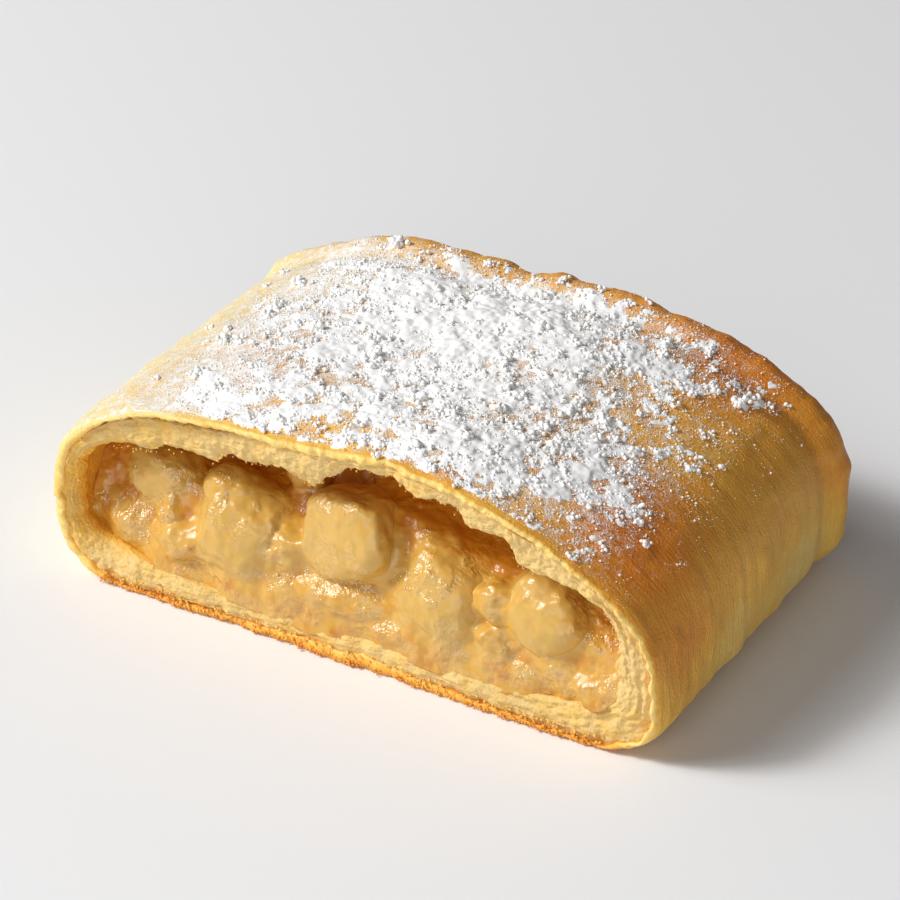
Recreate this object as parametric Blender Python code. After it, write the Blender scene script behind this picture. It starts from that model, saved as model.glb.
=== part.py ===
"""A slice of apple strudel: a rolled pastry case with one cut face and one baked, tucked end.

The slice lies on its flat underside. +X runs across the roll, +Y runs from the cut face to the
baked end, and +Z is up. Lengths are in metres. Every section of the roll is drawn in polar form
round the AXIS, a line along +Y at the height AXIS_Z, so a layer is a radius for each angle.
"""

import math

import bmesh
import bpy
import numpy as np
from mathutils import Euler, Matrix, Vector

MM = 0.001

# Driving dimensions of the slice
WIDTH = 112 * MM                 # across the roll
LENGTH = 72 * MM                 # from the cut face to the baked end
HEIGHT = 40 * MM                 # of the crown above the table
AXIS_Z = 16 * MM                 # height of the line that all sections are drawn round

# The outline of the roll, and of the hollow in it, as (left, right, up, down) reaches from the axis
OUTER_REACH = (WIDTH / 2, WIDTH / 2, HEIGHT - AXIS_Z, 17.6 * MM)
INNER_REACH = (51.6 * MM, 48.2 * MM, 20.2 * MM, 11.2 * MM)
CROWN_POWER = 2.5                # roundness of the upper half: 2 is an ellipse, more is squarer
BASE_POWER = 5.0                 # the lower half is squarer, as the roll sags on the tray
INNER_BASE_POWER = 4.6           # the same for the hollow

SHEET = 1.5 * MM                 # thickness of the outermost sheet of dough
SEAM = (0.35 * MM, 0.7 * MM)     # width and depth of the crease under that sheet at the cut
RIM_WAVE = (0.35 * MM, 5, 0.25 * MM, 17)   # unevenness of the cut rim: (height, waves) twice
END_WALL = 8 * MM                # dough behind the filling, at the baked end
CAP_DEPTH = 9.5 * MM             # the stretch over which the baked end rounds off
CAP_POWER = (2.8, 1.2)           # squareness of that rounding: on the crown, and how much more below
FOLD = (0.9 * MM, 8 * MM, 4 * MM)          # the tucked end's rim: (rise, from the end, spread)
CREASE = (-0.9 * MM, 14 * MM, 2.5 * MM)    # and the shallow crease in front of it
PLEATS = (0.5 * MM, 13)                    # ripples of that rim: (height, number round the roll)
PLEAT_START = 11 * MM            # how far from the end they begin
HOLLOW_ROUND = 12 * MM           # the stretch over which the hollow rounds off before the end wall
FIT_GAP = 0.35 * MM              # between any two solids that touch

CUT_Y = -34 * MM
END_Y = CUT_Y + LENGTH

# Soft lumps of the inner dough that hang over the filling at the cut: (x, drop, spread)
LIP_SAGS = (
    (-44 * MM, 6.5 * MM, 5.5 * MM),
    (-34 * MM, 9.5 * MM, 6.0 * MM),
    (-22 * MM, 6.2 * MM, 7.0 * MM),
    (-9 * MM, 5.4 * MM, 7.0 * MM),
    (13 * MM, 1.2 * MM, 3.0 * MM),
    (26 * MM, 3.4 * MM, 5.0 * MM),
    (38 * MM, 7.2 * MM, 6.0 * MM),
)
LIP_RAGGED = 0.25 * MM           # small unevenness all along the lip
LIP_DEPTH = 9 * MM               # how far behind the cut those lumps fade out
LIP_BACK = 1.8 * MM              # from the cut to where the wall of the hollow starts

# Where the outer sheet has lifted off the inner dough at the cut: (x, spread, width, depth)
LIFTED = (
    (-33 * MM, 12 * MM, 2.2 * MM, 6 * MM),
    (36 * MM, 4 * MM, 1.0 * MM, 3 * MM),
)

CUT_DROOP = 2.1 * MM             # how far the crown sinks at the cut edge
DROOP_SPREAD = 8 * MM
# The right shoulder sinks more there: (angle, spread of angle, drop, spread along the roll)
SHOULDER = (math.radians(17), math.radians(14), 4.2 * MM, 14 * MM)

# Low swells and hollows of the crown: (x, y, rise, spread)
SWELLS = (
    (-26 * MM, 24 * MM, 1.6 * MM, 13 * MM),
    (-4 * MM, 29 * MM, -1.2 * MM, 9 * MM),
    (14 * MM, 10 * MM, 1.2 * MM, 14 * MM),
    (12 * MM, -31 * MM, 1.7 * MM, 13 * MM),
    (-30 * MM, -8 * MM, 0.9 * MM, 12 * MM),
    (-6 * MM, -12 * MM, -0.7 * MM, 10 * MM),
    (36 * MM, -6 * MM, -0.8 * MM, 10 * MM),
    (30 * MM, 24 * MM, 0.7 * MM, 9 * MM),
)

# The chunks of apple that show at the cut: name, centre, half sizes, turn in degrees, squareness
CHUNKS = (
    ("apple_left", (-39.6, -23.4, 18.6), (6.4, 5.6, 5.0), (8, 4, 6), 2.9),
    ("apple_mid_left", (-21.6, -26.8, 13.9), (8.5, 6.5, 8.2), (-10, 14, 4), 2.5),
    ("apple_nook", (-14.0, -20.6, 23.8), (3.6, 3.4, 2.8), (10, 8, 8), 2.4),
    ("apple_middle", (-2.2, -26.6, 20.2), (9.2, 6.4, 7.4), (-14, -22, -4), 3.0),
    ("apple_top", (-1.2, -16.0, 25.2), (5.6, 3.2, 3.2), (6, 6, 10), 2.5),
    ("apple_mid_right", (15.6, -26.6, 13.5), (8.5, 6.6, 7.9), (-12, 16, 6), 2.4),
    ("apple_right", (33.6, -26.4, 16.6), (7.2, 6.0, 6.6), (-8, 18, -6), 2.6),
    ("apple_corner", (40.0, -28.8, 8.5), (3.8, 3.8, 1.8), (2, -6, 8), 2.4),
)

# The filling at the cut
FILLING_LOW = 22.5 * MM          # its height behind the cut, where it has sunk away from the crust
LOW_STRETCH = 13 * MM            # how far back it stays low
RISE_STRETCH = 12 * MM           # and over which stretch it then rises to the crust
FRONT_SETBACK = 1.8 * MM         # from the cut to the filling's front at the base
LEFT_SETBACK = (-32 * MM, 8 * MM, 3.8 * MM)   # more on the left: from x, over a stretch, how much
FRONT_LEAN = 3.0 * MM            # how much further back the front is at its top

# How finely each solid is divided
PASTRY_STEPS = 76                # round the roll
CAP_RINGS = 7
SIDE_RINGS = 13
STRAIGHT_SHARES = (0.05, 0.14, 0.36, 0.70, 1.0)   # rings along the straight part of the hollow
ROUND_SHARES = (0.55, 0.85, 0.97)                 # and along its rounded end
FILLING_STEPS = 38               # across the filling
CHUNK_SEGMENTS = 12
CHUNK_RINGS = 8

# The largest clumps of icing sugar, joined to the crust
SUGAR_CLUMPS = 70
SUGAR_SEED = 11
SUGAR_SIZE = (0.75 * MM, 1.45 * MM)        # radius of the smallest and the largest
SUGAR_X = (-46 * MM, 50 * MM)              # where they lie, across the roll
SUGAR_Y = (-32 * MM, 31 * MM)              # and along it
SUGAR_SPACE = 0.5 * MM                     # kept free between two
SUGAR_BAND = (2 * MM, 30 * MM)             # the thickest stripe: its middle and its spread

# Finishes as (red, green, blue), roughness
PASTRY_FINISH = ((0.80, 0.47, 0.14), 0.55)
FILLING_FINISH = ((0.66, 0.36, 0.09), 0.25)
APPLE_FINISH = ((0.86, 0.66, 0.24), 0.30)


def clear_scene():
    """Empties the scene, so that the script gives the same objects each time."""
    for thing in list(bpy.data.objects):
        bpy.data.objects.remove(thing)


def new_collection(name):
    """A collection of that name in the scene."""
    group = bpy.data.collections.new(name)
    bpy.context.scene.collection.children.link(group)
    return group


def finish(name, colour, roughness):
    """A Principled material of one colour and roughness."""
    material = bpy.data.materials.new(name)
    material.use_nodes = True
    shader = material.node_tree.nodes["Principled BSDF"]
    shader.inputs["Base Color"].default_value = (*colour, 1.0)
    shader.inputs["Roughness"].default_value = roughness
    return material


def bell(distance, spread):
    """A bell curve: 1 at no distance, about a third at one spread."""
    return np.exp(-((distance / spread) ** 2))


def ramp(value):
    """A smooth step from 0 to 1 as value goes from 0 to 1."""
    t = np.clip(value, 0, 1)
    return t * t * (3 - 2 * t)


def reach(angle, reaches, upper_power, lower_power):
    """Radius of a superellipse with its own reach to each side: (|cos/a|^n + |sin/b|^n)^(-1/n)."""
    left, right, up, down = reaches
    cosine = np.cos(angle)
    sine = np.sin(angle)
    across = np.where(cosine > 0, right, left)
    along = np.where(sine > 0, up, down)
    power = np.where(sine > 0, upper_power, lower_power)
    return (np.abs(cosine / across) ** power + np.abs(sine / along) ** power) ** (-1 / power)


def even_angles(count):
    """Angles round the axis whose points lie evenly along the roll's outline."""
    fine = np.linspace(-math.pi, math.pi, 4001)
    radius = reach(fine, OUTER_REACH, CROWN_POWER, BASE_POWER)
    x = radius * np.cos(fine)
    z = np.maximum(AXIS_Z + radius * np.sin(fine), 0)
    run = np.concatenate([[0], np.cumsum(np.hypot(np.diff(x), np.diff(z)))])
    return np.interp(np.arange(count) / count * run[-1], run, fine)


def swell(x, y):
    """Rise of the crown at a place, from the low swells and the droop at the cut edge."""
    rise = -CUT_DROOP * bell(y - CUT_Y, DROOP_SPREAD)
    for x0, y0, height, spread in SWELLS:
        rise = rise + height * bell(np.hypot(x - x0, y - y0), spread)
    return rise


def roundoff(angle, y):
    """Share of the full radius that is left at y, where the baked end rounds off.

    It follows 1 = share^n + depth^n, squarer low down, where the dough is tucked under.
    """
    depth = np.clip((y - (END_Y - CAP_DEPTH)) / CAP_DEPTH, 0, 1)
    crown, more = CAP_POWER
    power = crown + more * ramp(-np.sin(angle))
    return (1 - depth**power) ** (1 / power)


def shoulder_drop(angle, y):
    """How much the radius falls short at the right shoulder, which sinks towards the cut."""
    middle, spread, drop, run = SHOULDER
    return drop * bell(angle - middle, spread) * bell(y - CUT_Y, run)


def outer_radius(angle, y):
    """Radius of the crust's outside: the outline, swollen and creased, rounded at the baked end."""
    radius = reach(angle, OUTER_REACH, CROWN_POWER, BASE_POWER)
    x = radius * np.cos(angle)
    upward = np.clip(np.sin(angle), 0, 1)
    radius = radius + swell(x, y) * ramp(upward * 1.6) - shoulder_drop(angle, y)
    # the fold of the tucked end stands proud, with a shallow crease in front of it
    sides = ramp(1.2 + 2.0 * np.sin(angle))
    fold = sum(rise * bell(y - (END_Y - back), spread) for rise, back, spread in (FOLD, CREASE))
    height, number = PLEATS
    pleats = height * np.cos(number * angle) * ramp((y - (END_Y - PLEAT_START)) / (8 * MM))
    radius = (radius + (fold + pleats) * sides) * roundoff(angle, y)
    floor = np.where(np.sin(angle) < 0, AXIS_Z / np.maximum(-np.sin(angle), 1e-6), np.inf)
    return np.minimum(radius, floor)


def hollow_radius(angle, y):
    """Radius of the hollow that the filling lies in, behind the cut."""
    radius = reach(angle, INNER_REACH, CROWN_POWER, INNER_BASE_POWER)
    depth = np.clip((y - (END_Y - END_WALL - HOLLOW_ROUND)) / HOLLOW_ROUND, 0, 1)
    return radius * (1 - depth**3) ** (1 / 3)


def lip_radius(angle):
    """Radius of the hollow's mouth, where lumps of the inner dough hang over the filling."""
    radius = reach(angle, INNER_REACH, CROWN_POWER, INNER_BASE_POWER)
    x = radius * np.cos(angle)
    sag = sum(drop * bell(x - x0, spread) for x0, drop, spread in LIP_SAGS)
    ragged = LIP_RAGGED * np.sin(23 * angle) * np.sin(9 * angle + 1)
    return radius - sag * ramp(np.sin(angle) * 3) + ragged


def lifted(angle):
    """Width and depth of the gap under the outer sheet at the cut, for each angle."""
    x = reach(angle, OUTER_REACH, CROWN_POWER, BASE_POWER) * np.cos(angle)
    width = np.full_like(x, SEAM[0])
    depth = np.full_like(x, SEAM[1])
    for x0, spread, gap, run in LIFTED:
        share = bell(x - x0, spread) * ramp(np.sin(angle) * 4)
        width = width + gap * share
        depth = depth + run * share
    return width, depth


def ring(angle, radius, y):
    """One closed ring of points: x = radius cos(angle), z = axis + radius sin(angle)."""
    y = np.broadcast_to(y, angle.shape)
    return np.stack([radius * np.cos(angle), y, AXIS_Z + radius * np.sin(angle)], axis=1)


def closed_loft(name, rings, first_pole, last_pole):
    """A closed mesh through rings of equal length, shut by a fan of faces at each pole."""
    count = len(rings[0])
    points = np.concatenate([*rings, [first_pole], [last_pole]])
    here = np.arange(count)
    following = (here + 1) % count
    faces = []
    for k in range(len(rings) - 1):
        a = k * count
        b = a + count
        faces += np.stack([a + here, b + here, b + following, a + following], axis=1).tolist()
    first = len(points) - 2
    last = len(points) - 1
    end = (len(rings) - 1) * count
    faces += [(first, int(i), int(j)) for i, j in zip(here, following)]
    faces += [(last, end + int(j), end + int(i)) for i, j in zip(here, following)]
    mesh = bpy.data.meshes.new(name)
    mesh.from_pydata(points.tolist(), [], faces)
    work = bmesh.new()
    work.from_mesh(mesh)
    bmesh.ops.recalc_face_normals(work, faces=work.faces)
    bmesh.ops.triangulate(work, faces=work.faces)
    work.to_mesh(mesh)
    work.free()
    return mesh


def add_object(name, mesh, collection, material=None):
    """An object with that mesh in that collection, smooth except across sharp edges."""
    thing = bpy.data.objects.new(name, mesh)
    collection.objects.link(thing)
    if material:
        mesh.materials.append(material)
    mesh.shade_smooth()
    mesh.set_sharp_from_angle(angle=math.radians(50))
    return thing


def apply_modifiers(thing):
    """Replaces an object's mesh by what its modifiers make of it."""
    graph = bpy.context.evaluated_depsgraph_get()
    made = bpy.data.meshes.new_from_object(thing.evaluated_get(graph))
    thing.modifiers.clear()
    thing.data = made


def inside_rings(angle):
    """Rings of the hollow's wall, from just behind the lip to where it rounds off at the end wall."""
    lip = lip_radius(angle)
    straight_end = END_Y - END_WALL - HOLLOW_ROUND
    straight = CUT_Y + LIP_BACK + (straight_end - CUT_Y - LIP_BACK) * np.array(STRAIGHT_SHARES)
    rounded = straight_end + HOLLOW_ROUND * np.array(ROUND_SHARES)
    rings = []
    for y in [*straight, *rounded]:
        fade = ramp((y - CUT_Y) / LIP_DEPTH)
        rings.append(ring(angle, lip * (1 - fade) + hollow_radius(angle, y) * fade, y))
    return rings


def rim_rings(angle):
    """Rings round the cut rim: edge of the sheet, gap under it, edge of the inner dough, lip."""
    outside = outer_radius(angle, CUT_Y)
    lip = lip_radius(angle)
    width, depth = lifted(angle)
    high, waves, fine, fine_waves = RIM_WAVE
    wave = high * np.sin(waves * angle + 1) + fine * np.sin(fine_waves * angle)
    front = CUT_Y + high + 0.5 * wave
    sheet_in = outside - SHEET
    inner_edge = sheet_in - width - 0.2 * MM
    middle = 0.5 * (inner_edge + lip)
    profile = (
        (outside - 0.3 * MM, front - 0.2 * MM),
        (sheet_in, front),
        (sheet_in - 0.15 * MM, front + depth),
        (sheet_in - width, front + depth),
        (inner_edge, front + 0.5 * MM),
        (middle, front + 0.1 * MM + wave),
        (lip + 0.35 * (middle - lip), front + 0.4 * MM + wave),
        (lip, front + 1.4 * MM),
    )
    return [ring(angle, radius, y) for radius, y in profile]


def pastry_rings():
    """The case from the baked end's outside, over the crust, round the cut rim and into the hollow."""
    angle = even_angles(PASTRY_STEPS)
    rings = []
    for t in np.linspace(0.12, 1, CAP_RINGS) ** 0.8:
        y = END_Y - CAP_DEPTH * (1 - math.cos(t * math.pi / 2))
        rings.append(ring(angle, outer_radius(angle, y), y))
    for y in np.linspace(END_Y - CAP_DEPTH, CUT_Y + 0.6 * MM, SIDE_RINGS + 1)[1:]:
        rings.append(ring(angle, outer_radius(angle, y), y))
    return rings + rim_rings(angle) + inside_rings(angle)


def shrunk(points, gap):
    """A ring drawn in by a gap, each point moved along the inward normal of its neighbours' chord."""
    chord = np.roll(points, -1, axis=0) - np.roll(points, 1, axis=0)
    inward = np.stack([-chord[:, 2], 0 * chord[:, 1], chord[:, 0]], axis=1)
    inward /= np.linalg.norm(inward, axis=1)[:, None]
    return points + gap * inward


def build_pastry(collection, cutters, material):
    """The pastry case, one solid, with the largest sugar clumps joined on."""
    rings = pastry_rings()
    back = rings[-1][0, 1] + FIT_GAP
    mesh = closed_loft("pastry", rings, (0, END_Y, AXIS_Z), (0, back, AXIS_Z))
    pastry = add_object("pastry", mesh, collection, material)
    clumps = build_sugar(cutters)
    join = pastry.modifiers.new("sugar", "BOOLEAN")
    join.operation = "UNION"
    join.operand_type = "COLLECTION"
    join.collection = clumps
    apply_modifiers(pastry)
    for clump in list(clumps.objects):
        bpy.data.objects.remove(clump)
    return pastry


def sugar_density(x, y):
    """Share of the crown that sugar covers: a broad band along the roll, thinner to its sides."""
    middle, spread = SUGAR_BAND
    across = bell(x - middle, spread)
    along = ramp((y - CUT_Y) / (5 * MM)) * ramp((END_Y - 4 * MM - y) / (8 * MM))
    return across * along


def build_sugar(parent):
    """The largest clumps of icing sugar, half sunk in the crust, each a knobbly small ball."""
    clumps = bpy.data.collections.new("sugar_clumps")
    parent.children.link(clumps)
    draw = np.random.default_rng(SUGAR_SEED)
    placed = []
    while len(placed) < SUGAR_CLUMPS:
        x = draw.uniform(*SUGAR_X)
        y = draw.uniform(*SUGAR_Y)
        size = draw.uniform(*SUGAR_SIZE)
        if draw.random() > sugar_density(x, y):
            continue
        if any(math.hypot(x - u, y - v) < size + w + SUGAR_SPACE for u, v, w in placed):
            continue
        placed.append((x, y, size))
        add_clump(clumps, x, y, size, draw)
    return clumps


def add_clump(collection, x, y, size, draw):
    """One clump: an icosphere, squashed and turned, with its middle just above the crust."""
    work = bmesh.new()
    bmesh.ops.create_icosphere(work, subdivisions=1, radius=size)
    for vertex in work.verts:
        vertex.co *= draw.uniform(0.85, 1.15)
    mesh = bpy.data.meshes.new("clump")
    work.to_mesh(mesh)
    work.free()
    clump = add_cutter("clump", mesh, collection)
    clump.location = (x, y, crown_height(x, y) + 0.15 * size)
    clump.rotation_euler = [draw.uniform(0, math.pi) for _ in range(3)]


def crown_height(x, y):
    """Height of the crust above the table at a place, read from the polar form of the roll."""
    angle = np.linspace(0.02, math.pi - 0.02, 721)
    radius = outer_radius(angle, np.full_like(angle, y))
    across = radius * np.cos(angle)
    return float(np.interp(x, across[::-1], (AXIS_Z + radius * np.sin(angle))[::-1]))


def filling_level(x, y):
    """Top of the filling: low behind the cut, with dips between the chunks, rising to the crust."""
    waves = 1.8 * MM * np.sin(x / (9 * MM) + 0.8) + 1.1 * MM * np.sin(x / (4 * MM))
    rise = ramp((y - (CUT_Y + LOW_STRETCH)) / RISE_STRETCH)
    return FILLING_LOW + waves + (HEIGHT - FILLING_LOW) * rise


def filling_section(x):
    """A closed loop in the plane of one x: up the front, back over the top, down and forward."""
    rise = np.linspace(0, 1, 8)
    front_z = filling_level(x, CUT_Y) * rise
    bulge = 0.9 * MM * np.sin(x / (5 * MM) + 4 * rise) + 0.5 * MM * np.sin(x / (2.7 * MM))
    left_start, stretch, more = LEFT_SETBACK
    setback = FRONT_SETBACK + more * ramp((left_start - x) / stretch)
    front_y = CUT_Y + setback + FRONT_LEAN * rise**1.5 + bulge * np.sin(math.pi * rise)
    top_y = np.linspace(front_y[-1] + 2 * MM, CUT_Y + LOW_STRETCH + RISE_STRETCH, 8)
    top_z = filling_level(x, top_y)
    y = np.concatenate([front_y, top_y, [END_Y, END_Y]])
    z = np.concatenate([front_z, top_z, [HEIGHT, 0]])
    return np.stack([np.full_like(y, x), y, z], axis=1)


def filling_core():
    """The filling's own front and top, as a block that reaches past the hollow on all other sides."""
    rings = [filling_section(x) for x in np.linspace(-WIDTH / 2, WIDTH / 2, FILLING_STEPS)]
    return closed_loft("filling", rings, rings[0].mean(axis=0), rings[-1].mean(axis=0))


def build_filling(collection, cutters, material):
    """Soft apple and syrup, one solid from the cut to the end wall, with a pocket for each chunk."""
    filling = add_object("filling", filling_core(), collection, material)
    angle = even_angles(PASTRY_STEPS)
    wall = [ring(angle, lip_radius(angle), CUT_Y), *inside_rings(angle)]
    rings = []
    for k, points in enumerate(wall):
        forward = np.array((0, FIT_GAP * k / (len(wall) - 1), 0))
        rings.append(shrunk(points, FIT_GAP) - forward)
    back = rings[-1][0, 1]
    mesh = closed_loft("hollow", rings, (0, rings[0][0, 1], AXIS_Z), (0, back, AXIS_Z))
    hollow = add_cutter("hollow", mesh, cutters)
    fit = filling.modifiers.new("fit", "BOOLEAN")
    fit.operation = "INTERSECT"
    fit.object = hollow
    pockets = bpy.data.collections.new("pockets")
    cutters.children.link(pockets)
    for name, centre, half_sizes, turn, power in CHUNKS:
        pocket = add_chunk(f"pocket_{name}", centre, half_sizes, turn, power, FIT_GAP, pockets)
        hide_cutter(pocket)
    cut = filling.modifiers.new("pockets", "BOOLEAN")
    cut.operation = "DIFFERENCE"
    cut.operand_type = "COLLECTION"
    cut.collection = pockets
    apply_modifiers(filling)
    for cutter in [hollow, *pockets.objects]:
        bpy.data.objects.remove(cutter)
    return filling


def hide_cutter(thing):
    """Marks an object as a tool for cutting, drawn as wire and left out of renders."""
    thing.display_type = "WIRE"
    thing.hide_render = True


def add_cutter(name, mesh, collection):
    """An object that only cuts another."""
    thing = bpy.data.objects.new(name, mesh)
    collection.objects.link(thing)
    hide_cutter(thing)
    return thing


def add_chunk(name, centre, half_sizes, turn, power, spare, collection, material=None):
    """A rounded block of apple: a UV sphere drawn out to |x/a|^n + |y/b|^n + |z/c|^n = 1.

    spare makes it that much larger all round. It is placed and turned by its object.
    """
    work = bmesh.new()
    bmesh.ops.create_uvsphere(work, u_segments=CHUNK_SEGMENTS, v_segments=CHUNK_RINGS, radius=1)
    sizes = Vector(half_sizes) * MM + Vector((spare, spare, spare))
    for vertex in work.verts:
        unit = vertex.co.normalized()
        total = sum(abs(value) ** power for value in unit)
        knobs = 1 + 0.035 * math.sin(3 * unit.x + 5 * unit.z + centre[0])
        vertex.co = Vector(a * b for a, b in zip(unit, sizes)) * total ** (-1 / power) * knobs
    mesh = bpy.data.meshes.new(name)
    work.to_mesh(mesh)
    work.free()
    chunk = add_object(name, mesh, collection, material)
    chunk.location = Vector(centre) * MM
    chunk.rotation_euler = Euler([math.radians(value) for value in turn])
    return chunk


def centre_on_base(things):
    """Moves all objects so that their common box stands on z = 0, centred on x = 0 and y = 0."""
    bpy.context.view_layer.update()
    points = [t.matrix_world @ v.co for t in things for v in t.data.vertices]
    low = Vector([min(p[i] for p in points) for i in range(3)])
    high = Vector([max(p[i] for p in points) for i in range(3)])
    shift = Vector((-(low.x + high.x) / 2, -(low.y + high.y) / 2, -low.z))
    for thing in things:
        thing.matrix_world = Matrix.Translation(shift) @ thing.matrix_world
    print("moved by", [round(v / MM, 3) for v in shift], "mm; size", [round(v / MM, 2) for v in high - low])


def main():
    clear_scene()
    strudel = new_collection("apple_strudel")
    cutters = new_collection("cutters")
    things = [
        build_pastry(strudel, cutters, finish("baked_pastry", *PASTRY_FINISH)),
        build_filling(strudel, cutters, finish("apple_syrup", *FILLING_FINISH)),
    ]
    apple = finish("stewed_apple", *APPLE_FINISH)
    for name, centre, half_sizes, turn, power in CHUNKS:
        things.append(add_chunk(name, centre, half_sizes, turn, power, 0.0, strudel, apple))
    centre_on_base(things)


main()
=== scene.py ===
# %% [markdown]
# An apple strudel slice, dressed for its portrait
#
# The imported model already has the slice's construction: a rolled case of pastry, a filling, and the
# pieces of apple that show at the cut. This lesson gives each of them its real surface. Baked dough,
# stewed apple and icing sugar are all uneven, so nearly every shape here is a smooth formula with
# noise laid on it in several sizes, worked out for whole arrays of points at once.

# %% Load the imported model
import math
from itertools import product

import bpy
import numpy as np
from mathutils import Matrix, Vector


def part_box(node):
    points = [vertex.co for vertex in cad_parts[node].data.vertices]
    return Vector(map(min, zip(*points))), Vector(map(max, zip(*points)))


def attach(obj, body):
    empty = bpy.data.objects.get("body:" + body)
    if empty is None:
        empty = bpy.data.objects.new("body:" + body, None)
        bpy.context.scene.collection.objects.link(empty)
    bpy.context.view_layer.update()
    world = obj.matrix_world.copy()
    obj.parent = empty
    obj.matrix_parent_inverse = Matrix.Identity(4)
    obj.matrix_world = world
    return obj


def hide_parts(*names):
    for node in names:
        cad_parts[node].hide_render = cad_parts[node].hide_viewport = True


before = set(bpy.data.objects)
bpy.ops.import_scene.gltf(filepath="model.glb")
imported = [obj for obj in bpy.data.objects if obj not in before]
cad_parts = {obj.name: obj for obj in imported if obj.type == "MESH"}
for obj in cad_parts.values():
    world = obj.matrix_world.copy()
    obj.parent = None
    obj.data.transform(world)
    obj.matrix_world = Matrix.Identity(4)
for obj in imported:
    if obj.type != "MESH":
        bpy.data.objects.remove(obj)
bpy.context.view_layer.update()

# %% [markdown]
# Sizes
#
# The solids were drawn from a few sizes, and the same ones are used here, so that the dressed slice
# has the form of the solid one. Each section of the roll is polar: a layer of dough is a radius for
# each angle round a line that runs through the slice, so layers can never cross.

# %% The sizes that the solids were drawn from
MM = 0.001
WIDTH = 112 * MM
LENGTH = 72 * MM
HEIGHT = 40 * MM
AXIS_Z = 16 * MM
OUTER_REACH = (WIDTH / 2, WIDTH / 2, HEIGHT - AXIS_Z, 17.6 * MM)
INNER_REACH = (51.6 * MM, 48.2 * MM, 20.2 * MM, 11.2 * MM)
CROWN_POWER = 2.5
BASE_POWER = 5.0
INNER_BASE_POWER = 4.6
SHEET = 1.5 * MM
RIM_WAVE = (0.35 * MM, 5, 0.25 * MM, 17)
END_WALL = 8 * MM
CAP_DEPTH = 9.5 * MM
CAP_POWER = (2.8, 1.2)
FOLD = (0.9 * MM, 8 * MM, 4 * MM)
CREASE = (-0.9 * MM, 14 * MM, 2.5 * MM)
PLEATS = (0.5 * MM, 13)
PLEAT_START = 11 * MM
HOLLOW_ROUND = 12 * MM
CUT_Y = -34 * MM
END_Y = CUT_Y + LENGTH
CUT_DROOP = 2.1 * MM
DROOP_SPREAD = 8 * MM
SHOULDER = (math.radians(17), math.radians(14), 4.2 * MM, 14 * MM)
# each swell's x, y, height and spread
SWELLS = MM * np.array([
    (-26, 24, 1.6, 13),
    (-4, 29, -1.2, 9),
    (14, 10, 1.2, 14),
    (12, -31, 1.7, 13),
    (-30, -8, 0.9, 12),
    (-6, -12, -0.7, 10),
    (36, -6, -0.8, 10),
    (30, 24, 0.7, 9),
])
# each sag's x, drop and spread
LIP_SAGS = MM * np.array([
    (-44, 6.5, 5.5),
    (-34, 9.5, 6.0),
    (-22, 6.2, 7.0),
    (-9, 5.4, 7.0),
    (13, 1.2, 3.0),
    (26, 3.4, 5.0),
    (38, 7.2, 6.0),
])
LIP_DEPTH = 9 * MM
# each gap's x, spread, width and depth
LIFTED = MM * np.array([(-33, 12, 2.2, 6), (36, 4, 1.0, 3)])
# each chunk's name, centre and half sizes in millimetres, turn in degrees, and power
CHUNKS = (
    ("apple_left", (-39.6, -23.4, 18.6), (6.4, 5.6, 5.0), (8, 4, 6), 2.9),
    ("apple_mid_left", (-21.6, -26.8, 13.9), (8.5, 6.5, 8.2), (-10, 14, 4), 2.5),
    ("apple_nook", (-14.0, -20.6, 23.8), (3.6, 3.4, 2.8), (10, 8, 8), 2.4),
    ("apple_middle", (-2.2, -26.6, 20.2), (9.2, 6.4, 7.4), (-14, -22, -4), 3.0),
    ("apple_top", (-1.2, -16.0, 25.2), (5.6, 3.2, 3.2), (6, 6, 10), 2.5),
    ("apple_mid_right", (15.6, -26.6, 13.5), (8.5, 6.6, 7.9), (-12, 16, 6), 2.4),
    ("apple_right", (33.6, -26.4, 16.6), (7.2, 6.0, 6.6), (-8, 18, -6), 2.6),
    ("apple_corner", (40.0, -28.8, 8.5), (3.8, 3.8, 1.8), (2, -6, 8), 2.4),
)

# the solids were centred on their own box, which moved them a little across and along the roll
SWELL_ACROSS = 0.09 * MM
pastry_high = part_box("pastry")[1]
FRAME_SHIFT = np.array([-SWELL_ACROSS, pastry_high.y - END_Y, 0.0])
print("the slice lies", round(FRAME_SHIFT[1] / MM, 2), "mm behind the place it was drawn at")

# %% [markdown]
# Noise
#
# Dough, apple and sugar are never smooth, and never repeat. Gradient noise gives a random slope to
# each corner of a lattice of cubes and blends the slopes in between. Summing it at halving sizes
# gives lumps that carry smaller lumps, as on a real crust.

# %% Noise in space


def noise(points, size, seed=0):
    """Smooth noise of about -1 to 1, with lumps of that size.

    Each lattice corner has a slope drawn by hashing its place; the value is the blend, by the
    curve 6t^5 - 15t^4 + 10t^3 along each axis, of the eight slopes times the way to their corners.
    """
    place = np.asarray(points, float) / size + 37.7 * seed + 100
    cell = np.floor(place).astype(np.int64)
    inside = place - cell
    blend = inside**3 * (inside * (inside * 6 - 15) + 10)
    total = np.zeros(place.shape[:-1])
    for corner in product((0, 1), repeat=3):
        x, y, z = np.moveaxis(cell + corner, -1, 0)
        key = (x * 374761393 + y * 668265263 + z * 1442695041 + seed * 974634777) & 0xFFFFFFFF
        key = ((key ^ (key >> 13)) * 1274126177) & 0xFFFFFFFF
        key = key ^ (key >> 16)
        slopes = beside(key & 1023, (key >> 10) & 1023, (key >> 20) & 1023) / 511.5 - 1
        weight = np.where(corner, blend, 1 - blend).prod(axis=-1)
        total += weight * (slopes * (inside - corner)).sum(axis=-1)
    return 1.5 * total


def layered(points, size, octaves, seed=0):
    """Noise at several sizes: each next layer is half the size and half the height."""
    return sum(noise(points, size / 2**k, seed + k) / 2**k for k in range(octaves))


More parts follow.
